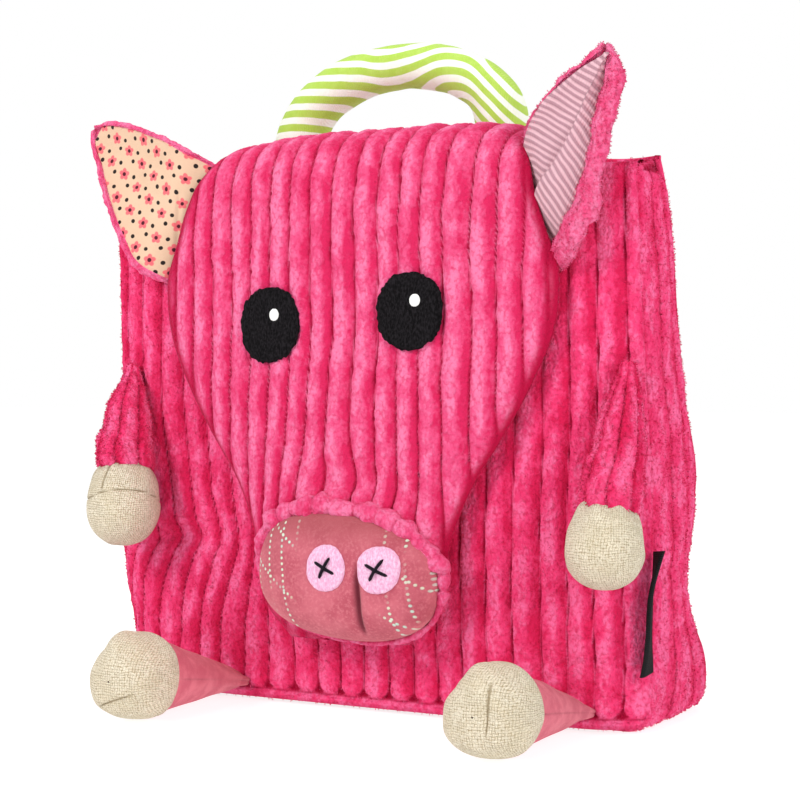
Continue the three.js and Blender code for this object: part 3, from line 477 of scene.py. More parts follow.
def head():
    """The padded head: its ribbed front, its turned edges and its plain back, in one closed skin."""
    last = len(HEAD["y"]) - 1
    fine = np.linspace(0, last, 2000)
    y, z, _, _ = head_line(fine)
    run = np.concatenate([[0], np.cumsum(np.hypot(np.diff(y), np.diff(z)))])
    t = np.interp(np.linspace(0, run[-1], int(run[-1] / 1.15)), run, fine)[:, None]
    index = np.arange(last + 1, dtype=float)
    y, z, face_y, face_z = head_line(t)
    value = lambda name: smooth(index, HEAD[name], t)
    ribs = 228
    across = np.concatenate([np.linspace(-1, 1, ribs), np.linspace(0.985, -0.985, 28)])[None, :]
    outer = (np.arange(across.shape[1]) < ribs)[None, :]
    soft = 1 - np.abs(across) ** 4.5
    thick = HEAD_FRINGE + (np.maximum(value("pad") * HEAD_PADDING, HEAD_EDGE) - HEAD_FRINGE) * soft
    x = head_shift(z) + across * value("half") * HEAD_WIDTH
    sway = 1.3 * noise_on_front(x, z, 60, 21) + 0.7 * noise_on_front(x, z, 22, 22)
    uneven = 1.3 * noise(x, 0 * x, 0 * z, 17, 23) + 0.5 * noise_on_front(x, z, 10, 27)
    pinch = 7 * bell(z - 104, 16) * np.tanh((x + 4) / 16) * bell(x + 4, 30)
    ridge, wale_side = wale((x + sway + uneven - pinch) / HEAD_WALE + 0.2)
    ridge = ridge * value("wale") * np.clip(1 - np.abs(across) ** 14, 0, 1)
    crush = 0.6 * noise_on_front(x, z, 15, 24) + 0.6 * noise_on_front(x, z, 7.5, 26)
    raised = outer * (HEAD_RIB * ridge - 2.2 * np.minimum(value("wale") * 1.4, 1) * soft + crush * ridge)
    u, v = snout_place(x, z)
    gap = (snout_radius(u, v) - 1) * 30
    gathered = 4.5 * bell(gap - 6, 6) * ease(v, -0.2, 0.7) * (z < 140)
    raised = raised + outer * soft * gathered * (0.6 + 0.4 * ridge)
    lift = np.where(outer, 1, -1) * thick / 2 + raised - value("crown") * HEAD_CROWN * across**2
    points = stacked(x, y + face_y * lift, z + face_z * lift).copy()
    n = normals(points, wrap=True)
    toward = stacked(0 * x, face_y + 0 * x, face_z + 0 * x)
    toward = toward * np.where(outer, 1, -1)[..., None]
    n = n * np.sign(np.sum(n * toward, -1, keepdims=True))
    points = points + n * (crinkle(points, 25) * outer * soft * (0.3 + 0.7 * ridge))[..., None]
    # Painted shade in the grooves where this is low; the plain back, which lies against the bag, and the top
    # where the wales fade out take some of it.
    shade = np.where(outer, np.maximum(ridge, 0.5 * (1 - np.clip(value("wale"), 0, 1))), 0.5)
    wale_side = wale_side * outer
    points = np.concatenate([shrunk(points[:1], 0.02), points, shrunk(points[-1:], 0.02)])
    shade, wale_side = (np.concatenate([field[:1], field, field[-1:]]) for field in (shade, wale_side))
    return [part(points, ridge=shade, wale_side=wale_side, wrap=True)]


def head_front(x, z):
    """The y of the head's front between its grooves and its crowns, below the crest."""
    order = slice(None, 4, -1)
    value = lambda name: smooth(HEAD["z"][order], HEAD[name][order], z)
    across = np.clip((x - head_shift(z)) / (value("half") * HEAD_WIDTH), -1, 1)
    thick = HEAD_FRINGE + (value("pad") * HEAD_PADDING - HEAD_FRINGE) * (1 - np.abs(across) ** 4.5)
    return value("y") - thick / 2 + value("crown") * HEAD_CROWN * across**2 - 1.2 * value("wale")


# Face

def snout_height(x, z):
    """How far the stuffed felt stands out, with its dart, its sag and fine puckers."""
    u, v = snout_place(x, z)
    radius = np.clip(snout_radius(u, v), 0, 1)
    dome = SNOUT_RIM + SNOUT_RISE * np.sqrt(1 - radius**3.2) * (1 - 0.16 * v)
    sag = 1.8 * bell(x - dart_line(z), 11) * bell(z - 50, 18)
    fan = np.sin((x - dart_line(z)) / (2 + 0.12 * np.abs(z - 40)) * 1.4)
    fan = fan * bell(z - 46, 11) * bell(x - 22, 14)
    wrinkle = (0.8 * noise_on_front(x, z, 13, 31) + 0.35 * noise_on_front(x, z, 5, 32)) * (1 - radius**4)
    return dome - 3.4 * snout_dart(x, z) * (1 - radius**6) - sag + wrinkle + 0.35 * fan


def dart_line(z):
    """The x of the dart at a height."""
    return NOSTRIL_X + 2.5 - 0.03 * (z - 60)


def snout_dart(x, z):
    """The pull of the dart sewn down the middle of the snout, from 0 to 1."""
    return np.exp(-np.abs((x - dart_line(z)) / 1.7) ** 1.2) * ease(78 - z, 0, 18) * ease(z, 36, 44)


def snout_skin(x, z):
    return head_front(x, z) - 1.2 - snout_height(x, z)


def snout_ring():
    """The plush gathered in a ring of puffs round the felt, full above it and thin below."""
    turn = np.linspace(0, 2 * math.pi, 2000)
    signed = lambda v: np.sign(v) * np.abs(v) ** (2 / SNOUT_POWER)
    u, v = (SNOUT_HALF[0] + 1.2) * signed(np.cos(turn)), (SNOUT_HALF[1] + 1.2) * signed(np.sin(turn))
    x = SNOUT_AT[0] + u * math.cos(SNOUT_TURN) - v * math.sin(SNOUT_TURN)
    z = SNOUT_AT[1] + v * math.cos(SNOUT_TURN) + u * math.sin(SNOUT_TURN)
    run = np.concatenate([[0], np.cumsum(np.hypot(np.diff(x), np.diff(z)))])
    along = np.linspace(0, run[-1], 430)[:-1]
    x, z, turn = (np.interp(along, run, w)[:, None] for w in (x, z, turn))
    along = along[:, None]
    upper = ease(np.sin(turn), -0.55, 0.5)
    corner = bell(turn - 0.75, 0.4)
    vary = lambda size, seed: noise(along, 0 * along, 0 * along, size, seed)
    beat = along / run[-1] * round(run[-1] / 9.8) + 0.42 * vary(13, 33)
    bead = np.abs(np.sin(math.pi * beat)) ** 0.45
    size = (1.3 + 3.5 * upper + 0.3 * corner) * (0.62 + 0.38 * bead) * (1 + 0.3 * vary(10, 34))
    around = circle(44)[None, :]
    out_x, out_z = np.gradient(z[:, 0])[:, None], -np.gradient(x[:, 0])[:, None]
    length = np.hypot(out_x, out_z)
    out_x, out_z = out_x / length, out_z / length
    high = 0.6 + 3.4 * upper
    wide = size * np.cos(around) + 1.2 * upper - 2.4 * corner
    y = head_front(x, z) - high - size * np.sin(around)
    grid = stacked(x + out_x * wide, y, z + out_z * wide)
    grid = np.concatenate([grid, grid[:1]])
    middle = stacked(x, head_front(x, z) - high, z)
    n = outward(grid, np.concatenate([middle, middle[:1]]))
    lumps = 1.9 * noise_on(grid, 6, 35) + 1.3 * crinkle(grid, 36)
    grid = grid + n * (lumps * np.concatenate([size, size[:1]]) / 6)[..., None]
    grid[-1] = grid[0]
    # Painted shade in the gaps between the puffs: the ring takes some of the plush's groove colour there.
    shade = np.concatenate([ease(bead, 0.15, 0.75), ease(bead[:1], 0.15, 0.75)])
    return part(grid, ridge=0.45 + 0.55 * shade, wrap=True)


def disc(centre, half, rings, sectors, power=2.0, ragged=0.0, seed=0, askew=0.0):
    """Rings of x and z round a centre, out to a soft oval whose edge may be ragged."""
    share = np.linspace(0.002, 1, rings)[:, None]
    turn = circle(sectors)[None, :]
    edge = 1 + ragged * noise(np.cos(turn) * 40, np.sin(turn) * 40, 0 * turn, 3.2, seed)
    edge = edge + 0.6 * ragged * noise(np.cos(turn) * 40, np.sin(turn) * 40, 0 * turn, 11, seed + 1)
    signed = lambda v: np.sign(v) * np.abs(v) ** (2 / power)
    u, v = share * edge * half[0] * signed(np.cos(turn)), share * edge * half[1] * signed(np.sin(turn))
    x = centre[0] + u * math.cos(askew) - v * math.sin(askew)
    z = centre[1] + v * math.cos(askew) + u * math.sin(askew)
    return x, z, np.broadcast_to(share, x.shape)


def felt_pad(centre, half, seat, thick, seed, ragged=0.03, rings=22, sectors=120):
    """A thin felt oval that lies on a surface, with a soft edge."""
    x, z, share = disc(centre, half, rings, sectors, 2.15, ragged, seed)
    edge = np.sqrt(np.clip(1 - share**14, 0, 1))
    fuzz = 0.09 * noise_on_front(x, z, 1.3, seed + 2) + 0.12 * noise_on_front(x, z, 4, seed + 3)
    y = seat(x, z) - (0.15 + thick * edge + fuzz * (share < 0.99))
    grid = np.stack([x, y, z], -1)
    return part(grid, cloth=np.stack([x, z, share], -1), wrap=True)


def thread(points, radius, sides=8):
    """A round thread through points, with tapered ends."""
    points = np.asarray(points, float)
    run = unit(np.gradient(points, axis=0))
    side = unit(np.cross(run, np.array([0.31, 0.27, 0.91])))
    other = np.cross(run, side)
    turn = circle(sides)[None, :, None]
    share = np.linspace(-1, 1, len(points))
    size = (radius * np.sqrt(np.clip(1 - np.abs(share) ** 8, 0.02, 1)))[:, None, None]
    grid = points[:, None] + size * (np.cos(turn) * side[:, None] + np.sin(turn) * other[:, None])
    return part(grid, wrap=True)


def stitch(a, b, seat, radius, arch):
    """A stitch on a surface between two places in x and z, sunk at both ends."""
    t = np.linspace(0, 1, 12)
    x, z = a[0] + (b[0] - a[0]) * t, a[1] + (b[1] - a[1]) * t
    y = seat(x, z) - arch * np.sin(math.pi * t) ** 0.5 + 0.4
    return thread(np.stack([x, y, z], -1), radius)


def snout_dome():
    """The stuffed felt of the snout, whose rim turns in behind its ring."""
    x, z, _ = disc(SNOUT_AT, SNOUT_HALF, 90, 200, SNOUT_POWER, askew=SNOUT_TURN)
    dome = np.stack([x, snout_skin(x, z), z], -1)
    rim = np.stack([x[-1:], head_front(x[-1:], z[-1:]) - 0.9, z[-1:]], -1)
    sunk = 1 - snout_dart(x, z)
    return part(np.concatenate([dome, rim]), ridge=np.concatenate([sunk, sunk[-1:]]), wrap=True)


def nostril_pad(sign):
    """A nostril's felt, and the two crossed stitches that hold it."""
    x, z = NOSTRIL_X + sign * NOSTRIL_SPREAD / 2, NOSTRIL_Z
    top = lambda px, pz: snout_skin(px, pz) - 1.2
    cross = [stitch((x - 5.6, z + 2.6), (x + 5.4, z - 2.4), top, 0.75, 0.8),
             stitch((x + 2.8, z + 5.0), (x - 2.6, z - 4.8), top, 0.75, 1.3)]
    return [felt_pad((x, z), NOSTRIL_HALF, snout_skin, 1.1, 111, 0.012)], cross


def eye_pad(side, sign):
    """An eye's felt, and the small stitched highlight on it."""
    x, z = EYES[side]
    seat = lambda px, pz: head_front(px, pz) - 0.2
    top = lambda px, pz: seat(px, pz) - 1.55
    highlight = felt_pad((x + 3.5, z + 4.5), (2.6, 2.8), top, 0.5, 131, 0.03, 10, 48)
    return [felt_pad((x, z), EYE_HALF, seat, 1.5, 121 + sign, 0.04)], [highlight]


# Stuffed limbs

def frame_of(axis):
    """Three unit axes at right angles, the first along the given one."""
    axis = unit(np.asarray(axis, float))
    side = unit(np.cross(axis, [0.0, -1.0, 0.0]))
    return axis, side, np.cross(axis, side)


def lathe(start, end, profile, count, sectors, bow=(0, 0, 0), flat=1.0):
    """Rings round the line from start to end, with where each point lies along, around and out.

    profile gives places along the line and radii. bow is how far the line's middle is bent.
    """
    start, end = np.asarray(start, float), np.asarray(end, float)
    _, side, other = frame_of(end - start)
    steps = np.linspace(0, 1, len(profile[0]))
    t = np.linspace(0, 1, count)
    along, radius = (smooth(steps, np.array(values, float), t)[:, None] for values in profile)
    turn = circle(sectors)
    centre = start + (end - start) * along + np.array(bow) * np.sin(math.pi * np.clip(along, 0, 1))
    ring = np.cos(turn)[:, None] * side + flat * np.sin(turn)[:, None] * other
    grid = centre[:, None] + radius[..., None] * ring[None]
    return grid, *np.broadcast_arrays(along, turn[None], radius)


def outward(grid, centre):
    """Unit normals of a closed grid, pointing away from its middle line."""
    n = normals(grid, wrap=True)
    return n * np.sign(np.sum(n * (grid - centre), -1, keepdims=True))


# Each arm by its root, the middle of its hand, the hand's half width and half length, and the
# radius of the sleeve's open end.
ARMS = {
    "left": ((-124.5, -47.4, 157), (-116.2, -65.6, 93), 17.6, 21, 13.2),
    "right": ((135.4, -44.6, 157), (133.7, -65.6, 83.5), 16.9, 18.8, 12.2),
}


def arm(side):
    """A tapered plush sleeve with its wales running down it and a puffed end over the hand."""
    root, centre, _, half, cuff = ARMS[side]
    root, centre = np.array(root, float), np.array(centre, float)
    axis = unit(centre - root)
    wrist = centre - axis * (half - 1.5)
    length = np.linalg.norm(wrist - root)
    places = [-3.4 / length, -2.2 / length, 0, 0.2, 0.45, 0.75, 0.94, 1.03, 1.04, 0.97]
    radii = [0.1, 2.6, 4.2, *(cuff * np.array([0.56, 0.78, 0.95, 1.04, 1.02, 0.85, 0.7]))]
    bow = np.array([1 if side == "right" else -0.3, -1, 0]) * 1.2
    grid, along, turn, radius = lathe(root, wrist, (places, radii), 110, 120, bow, 0.92)
    middle = grid.mean(axis=1, keepdims=True)
    ridge, wale_side = wale(turn / (2 * math.pi) * 7 + 0.12 * noise(along * 30, turn * 2, 0 * along, 9, 41))
    ridge = ridge * ease(along, -0.02, 0.3)
    lift = SLEEVE_RIB * ridge - 1.5 + 1.0 * noise(along * 60, turn * 8, 0 * along, 9, 42)
    grid = grid + outward(grid, middle) * (lift * ease(radius, 2, 8) + crinkle(grid, 43))[..., None]
    grid = grid + axis * (0.7 * ridge * ease(along, 0.85, 1))[..., None]
    # Painted shade in the sleeve's grooves where this is low; the part near the root is spared most of it.
    shade = np.maximum(0.25 + 0.75 * ridge, 0.75 * (1 - ease(along, 0.0, 0.35)))
    return [part(grid, ridge=shade, wale_side=wale_side, wrap=True)]


def hand(side):
    """A stuffed linen hand: a blunt rounded block, gathered where the sleeve ends."""
    root, centre, wide, half, _ = ARMS[side]
    root, centre = np.array(root, float), np.array(centre, float)
    axis = unit(centre - root)
    places = [-0.97, -0.9, -0.7, -0.4, -0.05, 0.3, 0.58, 0.8, 0.92, 0.985, 1.0]
    radii = wide * np.array([0.42, 0.6, 0.8, 0.94, 1.0, 0.99, 0.9, 0.7, 0.48, 0.22, 0.004])
    grid, _, around, _ = lathe(centre, centre + axis * half, (places, radii), 80, 120, flat=0.92)
    n = outward(grid, centre)
    height = (grid - centre) @ axis / half
    seam = bell(height + 0.08 + 0.05 * np.sin(around * 2), 0.022) * (side == "left")
    upright = bell(grid[..., 0] - centre[0] + 2, 0.7) * ease(-height, 0.05, 0.2)
    upright = upright * (side == "left")
    folds = np.sin(around * 8 + 2 * noise(height * 9, around * 3, 0 * around, 6, 55))
    gather = folds * ease(-height, 0.15, 0.95) * (0.9 if side == "right" else 0.5)
    lumps = 1.0 * noise_on(grid, 15, 51) + 0.45 * noise_on(grid, 6, 52)
    creases = np.maximum(seam, upright)
    grid = grid + n * (lumps + gather - 0.7 * creases)[..., None]
    # The creases also lay painted shade in the linen's colour, through its ridge.
    return [part(grid, cloth=flat_from_front(grid, centre), ridge=1 - 0.7 * creases, wrap=True)]


def flat_from_front(grid, centre):
    """Cloth coordinates laid over a ball from the front: arc lengths from its nearest point."""
    d = unit(grid - centre)
    angle = np.arccos(np.clip(-d[..., 1], -1, 1))
    size = np.linalg.norm(grid - centre, axis=-1)
    ring = np.maximum(np.hypot(d[..., 0], d[..., 2]), 1e-6)
    return np.stack([size * angle * d[..., 0] / ring, size * angle * d[..., 2] / ring, 0 * angle], -1)


LEG_X = {"left": -70.5, "right": 106.5}
ANKLE_Y, FOOT_RADIUS, FOOT_DOME = -109.6, 20, 25
LEG_ROOT_HALF, LEG_ROOT_Z, FLOOR_GAP = (15, 4), 9, 0.5


def leg(side):
    """A cone of dusty pink cloth, from its narrow sewn root to the ankle, with a ridged seam."""
    x0 = LEG_X[side]
    t = np.linspace(0, 1, 70)[:, None]
    turn = circle(96)[None, :]
    width = LEG_ROOT_HALF[0] + (FOOT_RADIUS - 1.2 - LEG_ROOT_HALF[0]) * t**0.9
    height = LEG_ROOT_HALF[1] + (FOOT_RADIUS - 1.6 - LEG_ROOT_HALF[1]) * t**0.85
    z0 = LEG_ROOT_Z + (FOOT_RADIUS - LEG_ROOT_Z) * t**0.9
    x = x0 + width * np.cos(turn)
    z = z0 + height * np.sin(turn)
    root = front_skin(x / (BODY_WIDTH / 2), np.clip(z, 2, 240) / BODY_HEIGHT) - 1.4
    y = root * (1 - t) + (ANKLE_Y - 4) * t + 0 * turn
    grid = np.stack([x, y, z], -1)
    middle = np.stack([x0 + 0 * t, y.mean(axis=1, keepdims=True), z0], -1)
    n = outward(grid, middle)
    pucker = 0.5 * np.sin(turn * 9 + 3 * noise(t * 20, 0 * turn, 0 * t, 8, 61)) * (1 - t) ** 2
    lift = 0.7 * noise(x, y, z, 14, 62) + pucker
    seam = bell(turn - 1.25, 0.05)
    grid = grid + n * ((lift - 0.7 * seam) * ease(z + 0 * lift, 0.5, 3))[..., None]
    grid[..., 2] = np.maximum(grid[..., 2], FLOOR_GAP)
    cloth = stacked(turn * 18, y, 0 * y)
    grid = np.concatenate([middle[:1] + (grid[:1] - middle[:1]) * 0.02, grid])
    cloth = np.concatenate([cloth[:1], cloth])
    return [part(grid, cloth=cloth, ridge=np.broadcast_to(seam, grid.shape[:2]), wrap=True)]


def foot(side):
    """A blunt domed linen sole, a little peaked, with a dart sewn into it."""
    x0 = LEG_X[side]
    centre = np.array([x0, ANKLE_Y - 1, FOOT_RADIUS])
    turn = circle(120)[None, :]
    a = np.linspace(0, math.pi / 2, 66)[:, None]
    radius = (FOOT_RADIUS - 0.4) * np.maximum(np.cos(a), 0.002) ** 0.62
    low_corners = 0.11 * bell(np.abs(turn - 1.5 * math.pi) - 0.85, 0.42)
    high_corners = -0.07 * bell(np.abs(turn - 0.5 * math.pi) - 0.8, 0.45)
    blunt = radius * (1 + (low_corners + high_corners) * ease(a, 0.0, 0.35))
    x = x0 + blunt * np.cos(turn)
    z = FOOT_RADIUS + blunt * np.sin(turn)
    y = ANKLE_Y - 0.6 - FOOT_DOME * np.sin(a) + 0 * turn
    grid = np.stack([x, y, z], -1)
    n = outward(grid, centre)
    if side == "right":
        line = (x - x0) * 0.97 - 6.5 + 0.008 * (z - 24) ** 2
        seam = bell(line, 0.55) * ease(z, 8, 16) * ease(-z, -38, -30)
    else:
        line = (z - 11) - 0.35 * (x - x0)
        seam = bell(line, 0.5) * ease(x - x0, -12, -4) * ease(x0 - x, -16, -8)
    peak = 2.0 * bell(turn - 1.8, 0.3) * ease(a, 0.0, 0.4) * ease(-a, -1.2, -0.5)
    lumps = 1.1 * noise(x, y, z, 17, 71) + 0.4 * noise(x, y, z, 6, 72)
    grid = grid + n * ((lumps - 0.8 * seam + peak) * ease(z, 0.6, 4))[..., None]
    grid[..., 2] = np.maximum(grid[..., 2], FLOOR_GAP)
    inside = grid[:1] + (centre - grid[:1]) * 0.07
    inside[..., 1] = ANKLE_Y + 1.4
    grid = np.concatenate([inside, grid])
    seam = np.concatenate([seam[:1], seam])
    # The dart's seam also lays painted shade in the linen's colour, through its ridge.
    return [part(grid, cloth=flat_from_front(grid, centre), ridge=1 - 0.7 * seam, wrap=True)]


# Handle

HANDLE = rows("t x y z deep wide", [
    (0, -59, -1.5, 232, 3.5, 13.7), (1, -60.1, -1.2, 246.5, 3.6, 13.7),
    (2, -62.3, 4.2, 256.6, 7.2, 13.1), (3, -62.3, 7.6, 268.2, 12.5, 12.5),
    (4, -55.7, 8, 284.2, 12.3, 12.3), (5, -41.4, 8.4, 296.5, 12, 11.7),
    (6, -18.3, 8.6, 303.4, 12, 11.3), (7, 4.8, 8.6, 304.5, 12, 11.3), (8, 26.8, 8.5, 299.8, 12, 11.5),
    (9, 44.4, 8.2, 288.5, 12.3, 12.2), (10, 51, 7.8, 272.6, 12.5, 12.5), (11, 52.1, 4.4, 256.6, 7.2, 13.1),
    (12, 51, -1, 246.5, 3.6, 13.7), (13, 51, -1.2, 232, 3.5, 13.7)])

# How high a stripe of the handle lies, by how far to the right.
STRIPES = rows("x height", [
    (-72, 2.5), (-58, 2.5), (-42, 1.5), (-24, 0), (-6, -2.5),
    (10, -0.5), (26, 3), (38, 0), (48, -9), (66, -28)])


def handle():
    """The stuffed handle, whose stripes run level, sag in the middle and fall away on the right."""
    t = np.linspace(0, 13, 180)
    line = np.stack([smooth(HANDLE["t"], HANDLE[a], t) for a in "xyz"], -1)
    deep, wide = (smooth(HANDLE["t"], HANDLE[a], t)[:, None] for a in ("deep", "wide"))
    run = unit(np.gradient(line, axis=0) * [1, 0, 1])
    turn = circle(60)[None, :]
    w, d = np.cos(turn) * wide, np.sin(turn) * deep
    grid = line[:, None] + np.stack([run[:, 2:] * w, d + 0 * w, -run[:, :1] * w], -1)
    n = outward(grid, line[:, None])
    lumps = 0.7 * noise_on(grid, 16, 81) + 0.3 * noise_on(grid, 7, 82)
    grid = grid + n * (lumps * ease(deep, 4, 10))[..., None]
    level = grid[..., 2] - smooth(STRIPES["x"], STRIPES["height"], grid[..., 0])
    cloth = np.stack([level, grid[..., 0], 0 * level], -1)
    grid = np.concatenate([shrunk(grid[:1], 0.02), grid, shrunk(grid[-1:], 0.02)])
    cloth = np.concatenate([cloth[:1], cloth, cloth[-1:]])
    return [part(grid, cloth=cloth, wrap=True)]


# Ears

# Each ear by the middle of its root, the way it points in the front view, its length, and how far
# its edges lie to either side of that line. "tilt" is how far its root slants along the line, and
# "bare" is how wide its plush rims are.
EARS = {
    "left": dict(
        root=(-87.8, -52, 227), angle=139.9, length=78.6, tilt=0.14, lean=6, cup=6, turn=1,
        edges=rows("along outer inner", [
            (-0.25, 27, 29), (0, 33, 30), (0.16, 33.7, 29.5), (0.32, 30.1, 27.5), (0.56, 22.1, 22),
            (0.78, 12.8, 14.5), (0.95, 6, 5.5), (1, 1.6, 1)]),
        bare=rows("along outer inner", [
            (-0.25, 1.8, 1.2), (0.5, 1.9, 1.2), (0.9, 1.8, 1.2), (1, 1.6, 1)])),
    "right": dict(
        root=(94.7, -52, 225.3), angle=64.7, length=76.1, tilt=-0.28, lean=5, cup=8, turn=-1,
        edges=rows("along outer inner", [
            (-0.3, 19, 24), (0, 29.3, 24), (0.1, 29.7, 23), (0.26, 26.9, 20.5), (0.41, 23.6, 18.1),
            (0.56, 20.3, 14.8), (0.7, 17, 10.8), (0.84, 13.6, 6), (0.95, 6, 2), (1, 1, 1)]),
        bare=rows("along outer inner", [
            (-0.3, 8, 0.3), (0, 14.6, 0.3), (0.26, 11.2, 0.3), (0.56, 7.2, 0.3),
            (0.84, 7.2, 0.3), (0.95, 3, 1), (1, 1, 1)])),
}


def ear_surface(ear, share, along):
    """The middle of an ear, by share from its outer edge to its inner and along it from the root."""
    angle = math.radians(ear["angle"])
    axis = np.array([math.cos(angle), 0, math.sin(angle)])
    side = np.array([-math.sin(angle), 0, math.cos(angle)]) * ear["turn"]
    start = ear["tilt"] * (1 - 2 * share) * -ear["turn"] - 0.13
    t = start + (1 - start) * along
    outer, inner = (smooth(ear["edges"]["along"], ear["edges"][k], t) for k in ("outer", "inner"))
    across = outer + (-inner - outer) * share
    point = np.array(ear["root"]) + axis * (ear["length"] * t)[..., None] + side * across[..., None]
    clear = (t - start) * ear["length"]
    rounded = ease(clear, 4, 34) * (1 - 0.5 * ease(t, 0.6, 1.0))
    tucked = 6.5 * (1 - ease(clear, 8, 26))
    point[..., 1] += ear["lean"] * t - ear["cup"] * (2 * share - 1) ** 2 * rounded + tucked
    return point


def ear_bare(ear, share, along):
    """Shares across an ear that its rims leave bare, for a lining of the given shares."""
    edges, bare = ear["edges"], ear["bare"]
    t = np.clip(along, 0, 1)
    wide = smooth(edges["along"], edges["outer"] + edges["inner"], t)
    low = smooth(bare["along"], bare["outer"], t) / wide
    high = 1 - smooth(bare["along"], bare["inner"], t) / wide
    return low + (high - low) * share


def ear_plush(side):
    """The plush back of an ear, which comes round its edges to the front as rims."""
    ear = EARS[side]
    count, sectors = 110, 150
    turn = circle(sectors)[None, :]
    along = np.linspace(0, 1, count)[:, None]
    share = 0.5 - 0.5 * np.cos(turn) + 0 * along
    flat = ear_surface(ear, share, along + 0 * turn)
    steps = np.linspace(0, 1, 40)
    field = normals(ear_surface(ear, steps[None, :] + 0 * along, along + 0 * steps[None, :]))
    field = field * np.sign(-field[..., 1:2])
    n = [[np.interp(share[r], steps, field[r, :, k]) for r in range(count)] for k in range(3)]
    n = unit(np.stack(n, -1))
    behind = np.sin(turn) + 0 * along
    low, high = ear_bare(ear, 0.0, along), ear_bare(ear, 1.0, along)
    rim_low = np.sqrt(np.clip(1 - ((share - low / 2) / (low / 2 + 0.004)) ** 2, 0, 1))
    rim_high = np.sqrt(np.clip(1 - ((share - (1 + high) / 2) / ((1 - high) / 2 + 0.004)) ** 2, 0, 1))
    full = 3.6 if side == "right" else 1.5
    tip = 1 - ease(along, 0.9, 1.0) * 0.7
    front = (0.2 + full * rim_low + 0.9 * rim_high) * np.clip(np.abs(behind) * 3, 0, 1) ** 0.5
    back = -5.0 * np.abs(behind) ** 0.6
    grid = flat + n * (np.where(behind > 0, back, front) * tip)[..., None]
    rim = np.maximum(rim_low, rim_high) * (behind <= 0)
    lumps = (1.3 if side == "right" else 0.5) * noise_on(grid, 6.5, 92) * np.maximum(rim, behind > 0)
    bump = (1.3 * crinkle(grid, 91) * np.maximum(rim, behind > -0.1) + lumps) * tip
    grid = grid + outward(grid, grid.mean(axis=1, keepdims=True)) * bump[..., None]
    grid = np.concatenate([grid, shrunk(grid[-1:], 0.03)])
    return [part(grid, ridge=0.9, wrap=True)]


def ear_lining(side):
    """The lining that shows inside an ear, sunk between its rims, with a fold or crease in it."""
    ear = EARS[side]
    s, along = np.meshgrid(np.linspace(0, 1, 90), np.linspace(0, 0.955, 100))
    grid = ear_surface(ear, ear_bare(ear, s, along), along)
    n = normals(grid)
    n = n * np.sign(-n[..., 1:2])
    fold = 0.5 - 0.26 * along
    if side == "right":
        step = ease(s, fold - 0.02, fold + 0.05) * (1 - ease(along, 0.35, 0.75))
        lift = 4.2 * (1 - step) * ease(s, -0.1, 0.3) + 1.6 * np.sin(math.pi * s) + 0.4
        lift = lift * ease(along, 0.0, 0.22)
    else:
        crease = bell(along - 0.2 - 0.22 * (s - 0.45), 0.012)
        crease = crease * ease(s, 0.2, 0.4) * ease(-s, -0.75, -0.6)
        lift = 0.7 + 1.0 * np.sin(math.pi * s) * ease(along, 0.0, 0.2) - 0.8 * crease
    edge = np.minimum(s, 1 - s)
    lift = lift + 0.4 * noise_on(grid, 10, 95) - 1.0 * (1 - ease(edge, 0, 0.04))
    grid = grid + n * lift[..., None]
    angle = math.radians(ear["angle"])
    x, z = grid[..., 0] - ear["root"][0], grid[..., 2] - ear["root"][2]
    u = (z * math.cos(angle) - x * math.sin(angle)) * ear["turn"]
    v = x * math.cos(angle) + z * math.sin(angle)
    cloth = np.stack([u, v, s - fold], -1)
    under = grid[:, ::-1] - n[:, ::-1] * 0.8
    return [part(grid, cloth=cloth), part(under, cloth=cloth[:, ::-1])]


# Label and straps

LABEL_START, LABEL_LENGTH, LABEL_REACH = 26, 52, 9.6


def side_label():
    """A narrow folded ribbon that stands out of the right seam, twisted over the front."""
    up = np.linspace(0, 1, 80)[:, None]
    z = LABEL_START + LABEL_LENGTH * up
    level = z / BODY_HEIGHT
    angle = np.radians(-46 - 50 * (1 - up) ** 0.8) + 0.1 * np.sin(up * 7)
    reach = np.array([0, 0.3, 0.6, 0.85, 0.95, 1, 0.95, 0.85, 0.6, 0.3, 0.0])[None, :]
    half = np.array([-0.5, -0.7, -1.0, -1.1, -0.8, 0, 0.8, 1.1, 1.0, 0.7, 0.5])[None, :]
    out = np.stack([np.cos(angle), np.sin(angle), 0 * angle], -1)
    across = np.stack([-np.sin(angle), np.cos(angle), 0 * angle], -1)
    edge = np.stack([half_width(level, 1) + 1.1, front_edge(level) + front_roll(level), z], -1)
    grid = edge + out * (reach * (LABEL_REACH + 1.2 * (1 - up)))[..., None] + across * half[..., None]
    grid[..., 2] += 2.2 * reach * (up - 0.5)
    cloth = stacked(reach * 10, z, half)
    return [part(grid, cloth=cloth)]


STRAP = rows("along across off", [
    (0.0, 0.0, 0.0), (0.08, 0.06, 0.0), (0.15, 0.11, 0.2), (0.26, 0.2, 0.6), (0.4, 0.35, 0.93),
    (0.55, 0.54, 1.0), (0.7, 0.74, 0.8), (0.83, 0.9, 0.4), (0.92, 0.98, 0.08), (0.95, 1.0, 0.0),
    (1.0, 1.0, 0.0)])
STRAP_X, STRAP_Z = (34, 106), (BODY_HEIGHT + BACK_RISE - 29, 34)  # its ends, from top to bottom
STRAP_OFF, STRAP_HALF, STRAP_THICK = 48, 19, 6  # how far it bows off the back, and its section


